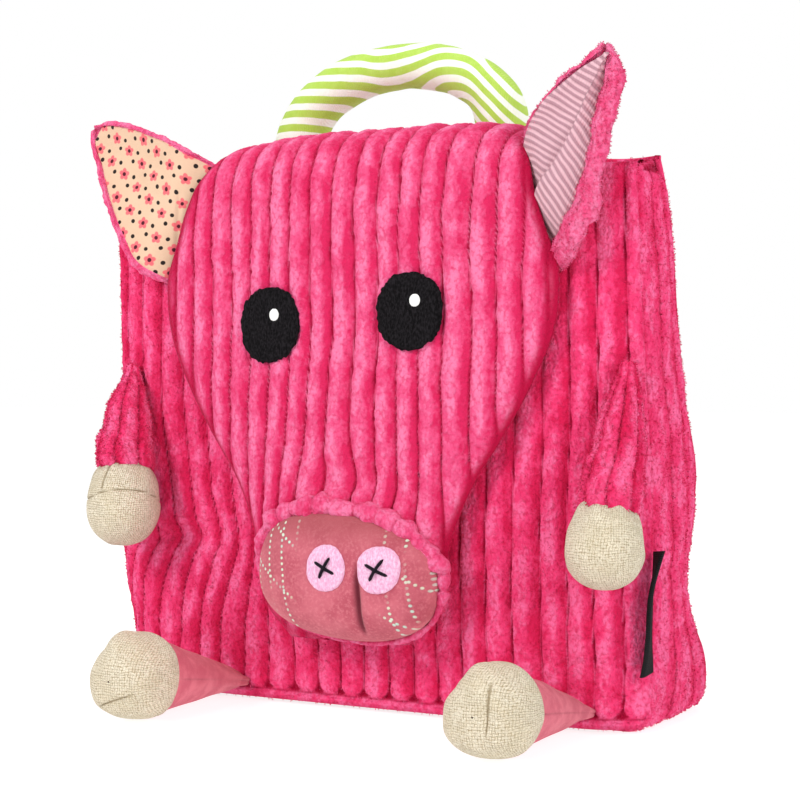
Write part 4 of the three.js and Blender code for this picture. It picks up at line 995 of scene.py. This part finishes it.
def strap(sign):
    """A flat padded shoulder strap with bound, stitched edges."""
    back_top = BODY_HEIGHT + BACK_RISE
    t = np.linspace(0, 1, 150)
    across = smooth(STRAP["along"], STRAP["across"], t)
    off = np.maximum(smooth(STRAP["along"], STRAP["off"], t), 0) * STRAP_OFF
    x = sign * (STRAP_X[0] + (STRAP_X[1] - STRAP_X[0]) * across)
    z = STRAP_Z[0] + (STRAP_Z[1] - STRAP_Z[0]) * t
    run = unit(np.stack([np.gradient(x), np.gradient(z)], -1))
    turn = circle(72)
    share = np.sign(np.cos(turn)) * np.abs(np.cos(turn)) ** 0.55
    half = share[None, :] * STRAP_HALF
    px, pz = x[:, None] - run[:, 1:] * half, z[:, None] + run[:, :1] * half
    level = pz / back_top
    seat = back_skin(px / half_width(level, px), level) + 0.6 + off[:, None]
    grid = np.stack([px, seat, pz], -1)
    flat = np.stack([x, back_skin(x / (BODY_WIDTH / 2), z / back_top) + 0.6 + off, z], -1)
    tangent = unit(np.gradient(flat, axis=0))
    side = np.stack([-run[:, 1], 0 * x, run[:, 0]], -1)
    n = unit(np.cross(tangent, side))
    n = n * np.sign(n[:, 1:2])
    section = STRAP_THICK / 2 * (1 + np.sign(np.sin(turn)) * np.abs(np.sin(turn)) ** 0.6)
    binding = 0.5 * bell(np.abs(share) - 0.8, 0.04)
    grid = grid + n[:, None] * (section[None, :] - binding * np.sign(np.sin(turn)))[..., None]
    cloth = stacked(half, (1 - t[:, None]) * 200, 0 * half)
    grid = np.concatenate([shrunk(grid[:1], 0.03), grid, shrunk(grid[-1:], 0.03)])
    cloth = np.concatenate([cloth[:1], cloth, cloth[-1:]])
    return [part(grid, cloth=cloth, wrap=True)]


# Materials

class Value:
    """A number worked out by a material's nodes, with ordinary arithmetic."""

    def __init__(self, look, socket):
        self.look = look
        self.socket = socket

    def __add__(self, other):
        return self.look.math("ADD", self, other)

    def __sub__(self, other):
        return self.look.math("SUBTRACT", self, other)

    def __rsub__(self, other):
        return self.look.math("SUBTRACT", other, self)

    def __mul__(self, other):
        return self.look.math("MULTIPLY", self, other)

    def __truediv__(self, other):
        return self.look.math("DIVIDE", self, other)

    def __abs__(self):
        return self.look.math("ABSOLUTE", self)


class Look:
    """A material and short ways to add nodes to it."""

    def __init__(self, name):
        self.material = bpy.data.materials.new(name)
        self.material.use_nodes = True
        self.tree = self.material.node_tree
        self.shader = self.tree.nodes["Principled BSDF"]

    def add(self, kind, inputs=(), **settings):
        node = self.tree.nodes.new("ShaderNode" + kind)
        for key, value in settings.items():
            setattr(node, key, value)
        for key, value in dict(inputs).items():
            self.set(node.inputs[key], value)
        return node

    def set(self, socket, value):
        if isinstance(value, Value):
            value = value.socket
        if isinstance(value, bpy.types.NodeSocket):
            self.tree.links.new(value, socket)
        else:
            socket.default_value = value

    def math(self, operation, a, b=0.0):
        return Value(self, self.add("Math", {0: a, 1: b}, operation=operation).outputs[0])

    def floor(self, value):
        return self.math("FLOOR", value)

    def odd(self, value):
        """1 where a whole number is odd and 0 where it is even."""
        return abs(self.math("MODULO", value, 2.0))

    def local(self, value):
        """The place inside a unit cell, from -0.5 to 0.5."""
        return value - self.floor(value) - 0.5

    def length(self, x, y):
        return self.math("SQRT", x * x + y * y)

    def wave(self, value, pitch):
        return self.math("SINE", value * (2 * math.pi / pitch))

    def mix(self, share, a, b):
        node = self.add("Mix", {0: share}, data_type="RGBA", blend_type="MIX")
        self.set(node.inputs[6], a)
        self.set(node.inputs[7], b)
        return node.outputs[2]

    def span(self, value, low, high, to_low=0.0, to_high=1.0):
        """A soft step from to_low at low to to_high at high."""
        inputs = {0: value, 1: low, 2: high, 3: to_low, 4: to_high}
        return Value(self, self.add("MapRange", inputs, interpolation_type="SMOOTHSTEP").outputs[0])

    def field(self, name):
        return Value(self, self.add("Attribute", attribute_name=name).outputs["Fac"])

    def split(self, vector):
        node = self.add("SeparateXYZ", {0: vector})
        return [Value(self, output) for output in node.outputs]

    def cloth(self):
        return self.split(self.add("Attribute", attribute_name="cloth").outputs["Vector"])

    def spot(self, stretch=(1, 1, 1)):
        """Object coordinates in millimetres, stretched."""
        place = self.add("TexCoord").outputs["Object"]
        scale = tuple(s / MM for s in stretch)
        return self.add("Mapping", {"Vector": place, "Scale": scale}).outputs[0]

    def noise(self, size, detail=2.0, stretch=(1, 1, 1)):
        inputs = {"Vector": self.spot(stretch), "Scale": 1 / size, "Detail": detail, "Roughness": 0.6}
        return Value(self, self.add("TexNoise", inputs).outputs[0])

    def cells(self, size, stretch=(1, 1, 1)):
        inputs = {"Vector": self.spot(stretch), "Scale": 1 / size}
        return Value(self, self.add("TexVoronoi", inputs, feature="F1").outputs[0])

    def bump(self, height, distance, strength=1.0):
        node = self.add("Bump", {"Height": height, "Distance": distance * MM, "Strength": strength})
        self.set(self.shader.inputs["Normal"], node.outputs[0])

    def finish(self, color, roughness, sheen=0.0, sheen_color=(1, 1, 1, 1), soft=0.5, specular=0.2):
        self.set(self.shader.inputs["Base Color"], color)
        self.set(self.shader.inputs["Roughness"], roughness)
        self.set(self.shader.inputs["Sheen Weight"], sheen)
        self.set(self.shader.inputs["Sheen Tint"], sheen_color)
        self.set(self.shader.inputs["Sheen Roughness"], soft)
        self.set(self.shader.inputs["Specular IOR Level"], specular)
        return self.material


def rgb(red, green, blue):
    """A colour given as it looks on a screen, from 0 to 255."""
    linear = [((c / 255 + 0.055) / 1.055) ** 2.4 if c > 10 else c / 255 / 12.92 for c in (red, green, blue)]
    return (*linear, 1)


def plush_look(name, groove, deep, pile, tip):
    """Crushed plush, with painted shade in its grooves, in the cracks of its pile and on one side of each
    wale, and painted highlights on its curls and on the other side of each wale.
    """
    look = Look(name)
    ridge, wale_side = look.field("ridge"), look.field("wale_side")
    patches = look.noise(8, 2.0, (1, 1, 0.5))
    curls = look.noise(1.9, 3.0, (1, 1, 0.85))
    # Painted shade in the cracks between the curls of the pile; the bump also dents them.
    pile_cracks = look.cells(1.5, (1, 1, 0.75))
    # Painted shade on one side of each wale and a painted highlight on the other, by the place across the
    # wale.
    away = look.span(wale_side, 0.05, 0.7) * 0.2
    toward = look.span(wale_side, -0.9, -0.2) * look.span(wale_side, 0.3, -0.1) * 0.06
    shade = patches * 0.85 + curls * 0.45 + toward - away
    # The pile's tone: random patches of it, with painted highlights on the curls towards the pale tip colour.
    color = look.mix(look.span(shade, 0.38, 0.62), deep, pile)
    color = look.mix(look.span(shade, 0.6, 0.84) * 0.85, color, tip)
    color = look.mix(look.span(pile_cracks, 0.5, 0.85) * 0.5, color, deep)
    # Painted shade in the grooves, where the ridge attribute is low: the colour goes to the groove colour.
    color = look.mix(look.span(ridge, 0.15, 0.66), groove, color)
    look.bump(curls * 0.8 - pile_cracks * 0.4 + look.noise(0.55, 2.0) * 0.3, 1.5)
    return look.finish(color, 0.9, 0.3, tip, 0.5, 0.08)


def linen_look(name):
    """Coarse natural linen: a plain weave of uneven yarns, with painted shade along its seams and creases."""
    look = Look(name)
    u, v, _ = look.cloth()
    drift = look.noise(9, 1.0) * 2.2
    u, v = u / LINEN_PITCH + drift, v / LINEN_PITCH + drift
    warp, weft = (abs(look.math("SINE", yarn * math.pi)) for yarn in (u, v))
    over = look.odd(look.floor(u) + look.floor(v))
    weave = warp * over + weft * (1.0 - over)
    weave = weave * (look.math("MINIMUM", warp, weft) * 0.4 + 0.6)
    slub = look.noise(1.1, 2.0)
    color = look.mix(look.span(weave, 0.1, 0.75), rgb(170, 150, 114), rgb(226, 213, 188))
    color = look.mix(look.span(slub, 0.35, 0.75), color, rgb(240, 230, 208))
    color = look.mix(look.span(look.noise(13, 2.0), 0.4, 0.7) * 0.3, color, rgb(206, 190, 156))
    # Painted shade in the seams and creases, where the ridge attribute is low.
    color = look.mix(look.span(look.field("ridge"), 0.3, 0.9), rgb(160, 142, 112), color)
    look.bump(weave + slub * 0.5, 0.55, 0.9)
    return look.finish(color, 0.9, 0.2, rgb(255, 250, 235), 0.5, 0.15)


def cell_of(look, u, v, pitch, stagger):
    """Local coordinates from -0.5 to 0.5 in a grid of cells, whose odd columns are staggered."""
    column_place = u / pitch
    row_place = v / pitch + look.odd(look.floor(column_place)) * stagger
    return look.local(column_place), look.local(row_place)


def calico_look(name):
    """Cream cotton with small sprigs: a five-petalled blossom with a dark eye, and seed dots."""
    look = Look(name)
    u, v, _ = look.cloth()
    wobble = (look.noise(11, 0.0) - 0.5) * 1.4
    u, v = u + wobble, v - wobble
    x, y = cell_of(look, u, v, BLOSSOM_PITCH, 0.5)
    r = look.length(x, y)
    petal = abs(look.math("COSINE", look.math("ARCTAN2", y, x) * 2.5))
    blossom = look.span(petal * 0.1 + 0.19 - r, -0.02, 0.04)
    middle = look.span(r, 0.07, 0.115, 1.0, 0.0)
    seeds = look.length(*cell_of(look, u + BLOSSOM_PITCH / 2, v + BLOSSOM_PITCH / 4, BLOSSOM_PITCH / 2, 0.0))
    seeds = look.span(seeds, 0.17, 0.22, 1.0, 0.0) * look.span(r, 0.36, 0.4)
    color = look.mix(look.noise(14, 2.0), rgb(220, 188, 160), rgb(210, 174, 146))
    color = look.mix(blossom, color, look.mix(look.noise(1.6), rgb(232, 124, 124), rgb(222, 84, 100)))
    color = look.mix(middle, color, rgb(70, 20, 34))
    color = look.mix(seeds, color, rgb(34, 26, 26))
    look.bump(look.noise(0.45, 1.0), 0.25, 0.6)
    return look.finish(color, 0.85, 0.15, rgb(255, 245, 220), 0.5, 0.2)


def knit_look(name):
    """Fine ribbed knit in two dusty pinks, whose stripes change their slant at the ear's fold."""
    look = Look(name)
    u, v, beside_fold = look.cloth()
    inner = v + look.math("SINE", u * 0.12) * 1.5
    outer = u * 0.53 + v * 0.85
    line = inner + look.span(beside_fold, -0.01, 0.01, 1.0, 0.0) * (outer - inner) + look.noise(16, 1.0) * 3.0
    stripe = look.wave(line, 2.7)
    color = look.mix(look.span(stripe, -0.6, 0.6), rgb(172, 128, 138), rgb(224, 180, 188))
    color = look.mix(look.noise(6, 3.0) * 0.25, color, rgb(200, 160, 176))
    look.bump(stripe + look.wave(u, 1.1) * 0.25, 0.35, 0.8)
    return look.finish(color, 0.9, 0.25, rgb(255, 225, 230), 0.5, 0.15)


def stripe_look(name):
    """Jersey in lime and white stripes."""
    look = Look(name)
    level, x, _ = look.cloth()
    band = look.wave(level + (look.noise(12, 1.0) - 0.5) * 1.2, STRIPE_PITCH)
    color = look.mix(look.span(band, -0.3, 0.15), rgb(240, 246, 236), rgb(172, 206, 82))
    color = look.mix(look.span(look.noise(5, 3.0), 0.35, 0.75) * 0.15, color, rgb(214, 230, 150))
    look.bump(look.wave(x, 0.9) * 0.4 + look.noise(0.7, 2.0), 0.25, 0.6)
    return look.finish(color, 0.85, 0.2, rgb(240, 255, 225), 0.5, 0.1)


def dotted_rows(look, x, z, slant, pitch, phase):
    """Rows of small dots, from 0 to 1, that run at a slant and lie pitch apart."""
    across = x * slant[0] + z * slant[1]
    along = x * slant[1] - z * slant[0]
    p = look.local((across + phase) / pitch) * pitch
    q = look.local(along / DOT_STEP) * DOT_STEP
    return look.span(look.length(p, q), 0.5, 0.85, 1.0, 0.0)


def snout_look(name):
    """Dusty pink brushed cotton with a faint crossing of rows of small pearly dots."""
    look = Look(name)
    x, _, z = look.split(look.spot())
    steep = dotted_rows(look, x, z, (1.0, 0.12), 8.5, 2.0)
    level = dotted_rows(look, x, z, (0.55, 0.84), 19.0, 6.0)
    color = look.mix(look.span(look.noise(16, 3.0), 0.35, 0.65), rgb(176, 78, 94), rgb(196, 100, 114))
    color = look.mix(look.span(look.noise(1.3, 3.0), 0.45, 0.7) * 0.5, color, rgb(212, 126, 136))
    # Painted shade under the ring's full upper puffs: the felt darkens towards its top.
    color = look.mix(look.span(z, 74.0, 90.0) * 0.65, color, rgb(148, 62, 68))
    color = look.mix(look.span(look.field("ridge"), 0.2, 0.9), rgb(122, 44, 60), color)
    beside = look.span(abs(x - (NOSTRIL_X - 8)), 19.0, 25.0)
    worn = look.span(look.noise(12, 1.0), 0.36, 0.56)
    dots = look.math("MAXIMUM", steep, level) * (worn * beside)
    color = look.mix(dots, color, look.mix(look.noise(6, 0.0), rgb(170, 220, 214), rgb(236, 226, 190)))
    look.bump(look.noise(0.6, 3.0) + dots * 1.5, 0.4, 0.7)
    return look.finish(color, 0.8, 0.35, rgb(255, 200, 200), 0.5, 0.2)


def leg_look(name):
    """Plain dusty pink cloth with a fine weave and a darker seam."""
    look = Look(name)
    u, v, _ = look.cloth()
    weave = look.wave(u, 0.9) * look.wave(v, 0.9)
    color = look.mix(look.span(look.noise(8, 3.0), 0.35, 0.7), rgb(206, 88, 110), rgb(226, 118, 134))
    color = look.mix(look.span(weave, 0.2, 0.9) * 0.3, color, rgb(240, 150, 160))
    color = look.mix(look.span(look.field("ridge"), 0.3, 0.9), color, rgb(150, 60, 84))
    look.bump(weave, 0.2, 0.7)
    return look.finish(color, 0.85, 0.25, rgb(255, 200, 205), 0.5, 0.15)


def felt_look(name, dark, light, sheen):
    look = Look(name)
    fibre = look.noise(0.8, 4.0, (1, 1, 0.5))
    color = look.mix(look.span(fibre, 0.35, 0.7), dark, light)
    look.bump(fibre + look.noise(0.3, 2.0), 0.4, 0.8)
    return look.finish(color, 0.95, sheen, light, 0.6, 0.08)


def woven_look(name, base, light, pitch):
    """Ribbed webbing or ribbon, whose ribs run across it."""
    look = Look(name)
    u, v, _ = look.cloth()
    yarn = look.wave(u, pitch)
    rib = look.wave(v + yarn * 0.2, pitch)
    color = look.mix(look.span(rib, -0.4, 0.9), base, light)
    color = look.mix(look.noise(7, 3.0) * 0.3, color, base)
    look.bump(yarn + rib, 0.3, 0.6)
    return look.finish(color, 0.8, 0.15, light, 0.5, 0.2)


def thread_look(name, tone, worn):
    look = Look(name)
    twist = look.noise(0.35, 2.0)
    color = look.mix(twist * 0.5, tone, worn)
    look.bump(twist, 0.2, 0.6)
    return look.finish(color, 0.75, 0.1, tone, 0.5, 0.15)


# The plush colours: groove is painted shade for the grooves; deep, pile and tip are its tones, and deep and
# tip also carry painted shade and painted highlights.
HEAD_PLUSH = plush_look(
    "head_plush", rgb(176, 10, 58), rgb(212, 38, 90), rgb(228, 80, 128), rgb(240, 128, 170))
BAG_PLUSH = plush_look(
    "bag_plush", rgb(164, 6, 50), rgb(212, 30, 80), rgb(236, 62, 116), rgb(248, 112, 162))
LINEN = linen_look("linen")
CALICO = calico_look("calico")
KNIT = knit_look("striped_knit")
STRIPE = stripe_look("striped_jersey")
SNOUT = snout_look("snout_cloth")
LEG = leg_look("leg_cloth")
PINK_FELT = felt_look("pink_felt", rgb(226, 160, 196), rgb(250, 208, 232), 0.4)
BLACK_FELT = felt_look("black_felt", rgb(8, 7, 8), rgb(34, 31, 34), 0.12)
RIBBON = woven_look("black_ribbon", rgb(8, 8, 9), rgb(38, 36, 40), 0.8)
WEBBING = woven_look("strap_cloth", rgb(196, 30, 84), rgb(238, 84, 132), 1.6)
BLACK_THREAD = thread_look("black_thread", rgb(14, 8, 16), rgb(40, 26, 44))
WHITE_THREAD = thread_look("white_thread", rgb(244, 244, 240), rgb(208, 206, 204))


# The pieces

made = {}


def piece(name, parts, material, slot, flip=False, tufts=0):
    """A part's dressed piece, with loose tufts of pile where it is plush."""
    if tufts:
        seed = 200 + len(made)
        parts = parts + [fuzz(dict(parts[0], facing=-1 if flip else 1), tufts, TUFT, seed)]
    made[name] = build(name + "_soft", parts, material, name, flip)
    return made[name]


front = panel(BODY_HEIGHT, 0.5, front_skin, -1, front_lift, GRAIN, ROW)
piece("front_panel", front, BAG_PLUSH, "plush", tufts=18000)
back = panel(BODY_HEIGHT + BACK_RISE, 3.0, back_skin, 1, back_lift, 1.8 * GRAIN, 1.8 * ROW)
piece("back_panel", back, BAG_PLUSH, "plush", flip=True, tufts=4000)
piece("side_gusset", gusset(), BAG_PLUSH, "plush", tufts=22000)
piece("head_flap", head(), HEAD_PLUSH, "plush", tufts=16000)

piece("snout", [snout_dome()], SNOUT, "snout_cloth")
ring = snout_ring()
build("snout_ring", [ring, fuzz(ring, 5000, 1.2, 205)], HEAD_PLUSH, None)
for side, sign in (("left", -1), ("right", 1)):
    nostril, cross = nostril_pad(sign)
    piece(f"nostril_{side}", nostril, PINK_FELT, "pink_felt")
    build(f"nostril_{side}_stitch", cross, BLACK_THREAD, None)
    eye, highlight = eye_pad(side, sign)
    piece(f"eye_{side}", eye, BLACK_FELT, "black_felt")
    build(f"eye_{side}_highlight", highlight, WHITE_THREAD, None)
    piece(f"ear_{side}", ear_plush(side), HEAD_PLUSH, "plush", tufts=6000)
    lining, slot = (CALICO, "calico") if side == "left" else (KNIT, "striped_knit")
    piece(f"ear_{side}_lining", ear_lining(side), lining, slot)
    piece(f"arm_{side}", arm(side), BAG_PLUSH, "plush", tufts=6000)
    piece(f"hand_{side}", hand(side), LINEN, "linen")
    piece(f"leg_{side}", leg(side), LEG, "leg_cloth")
    piece(f"foot_{side}", foot(side), LINEN, "linen")
    piece(f"strap_{side}", strap(sign), WEBBING, "strap_cloth")
piece("handle", handle(), STRIPE, "striped_jersey")
piece("side_label", side_label(), RIBBON, "black_ribbon")

for side, wide in (("left", 62), ("right", 42)):
    lining = made[f"ear_{side}_lining"]

# Floor, light and camera

FLOOR_HALF, FLOOR_DROP = 9, 0.0005  # metres
floor_mesh = bpy.data.meshes.new("floor")
corners = [(-1, -1), (1, -1), (1, 1), (-1, 1)]
floor_mesh.from_pydata([(FLOOR_HALF * x, FLOOR_HALF * y, -FLOOR_DROP) for x, y in corners], [], [range(4)])
floor = bpy.data.objects.new("floor", floor_mesh)
bpy.context.scene.collection.objects.link(floor)
ground = Look("floor")
ground.set(ground.shader.inputs["Emission Color"], (1, 1, 1, 1))
ground.set(ground.shader.inputs["Emission Strength"], 0.82)
floor_mesh.materials.append(ground.finish((0.4, 0.4, 0.4, 1), 0.9, specular=0.0))


def area_light(name, place, target, size, power):
    data = bpy.data.lights.new(name, "AREA")
    data.shape = "DISK"
    data.size = size
    data.energy = power
    light = bpy.data.objects.new(name, data)
    bpy.context.scene.collection.objects.link(light)
    light.location = place
    light.rotation_euler = (Vector(target) - Vector(place)).to_track_quat("-Z", "Y").to_euler()


area_light("key", (-0.7, -1.5, 1.1), (0, 0, 0.12), 0.7, 19)
area_light("fill", (1.7, -0.8, 0.8), (0, 0, 0.12), 1.0, 15)
area_light("top", (0.1, 0.2, 1.7), (0, 0, 0.1), 1.2, 9)
world = bpy.data.worlds.new("studio")
world.use_nodes = True
sky = world.node_tree
backdrop = sky.nodes["Background"]
backdrop.inputs["Color"].default_value = (1, 1, 1, 1)
seen = sky.nodes.new("ShaderNodeLightPath")
strength = sky.nodes.new("ShaderNodeMapRange")
strength.inputs["To Min"].default_value = 0.5  # on the object
strength.inputs["To Max"].default_value = 1.0  # behind it
sky.links.new(seen.outputs["Is Camera Ray"], strength.inputs["Value"])
sky.links.new(strength.outputs["Result"], backdrop.inputs["Strength"])
bpy.context.scene.world = world
bpy.context.scene.view_settings.view_transform = "Standard"

camera_data = bpy.data.cameras.new("camera")
camera_data.sensor_width, camera_data.lens = 36, 81
camera_data.clip_end = 50
camera = bpy.data.objects.new("camera", camera_data)
bpy.context.scene.collection.objects.link(camera)
camera.location = (0.4215, -0.7605, 0.149)
camera.rotation_euler = (math.radians(89.57), 0, math.radians(29))
bpy.context.scene.camera = camera
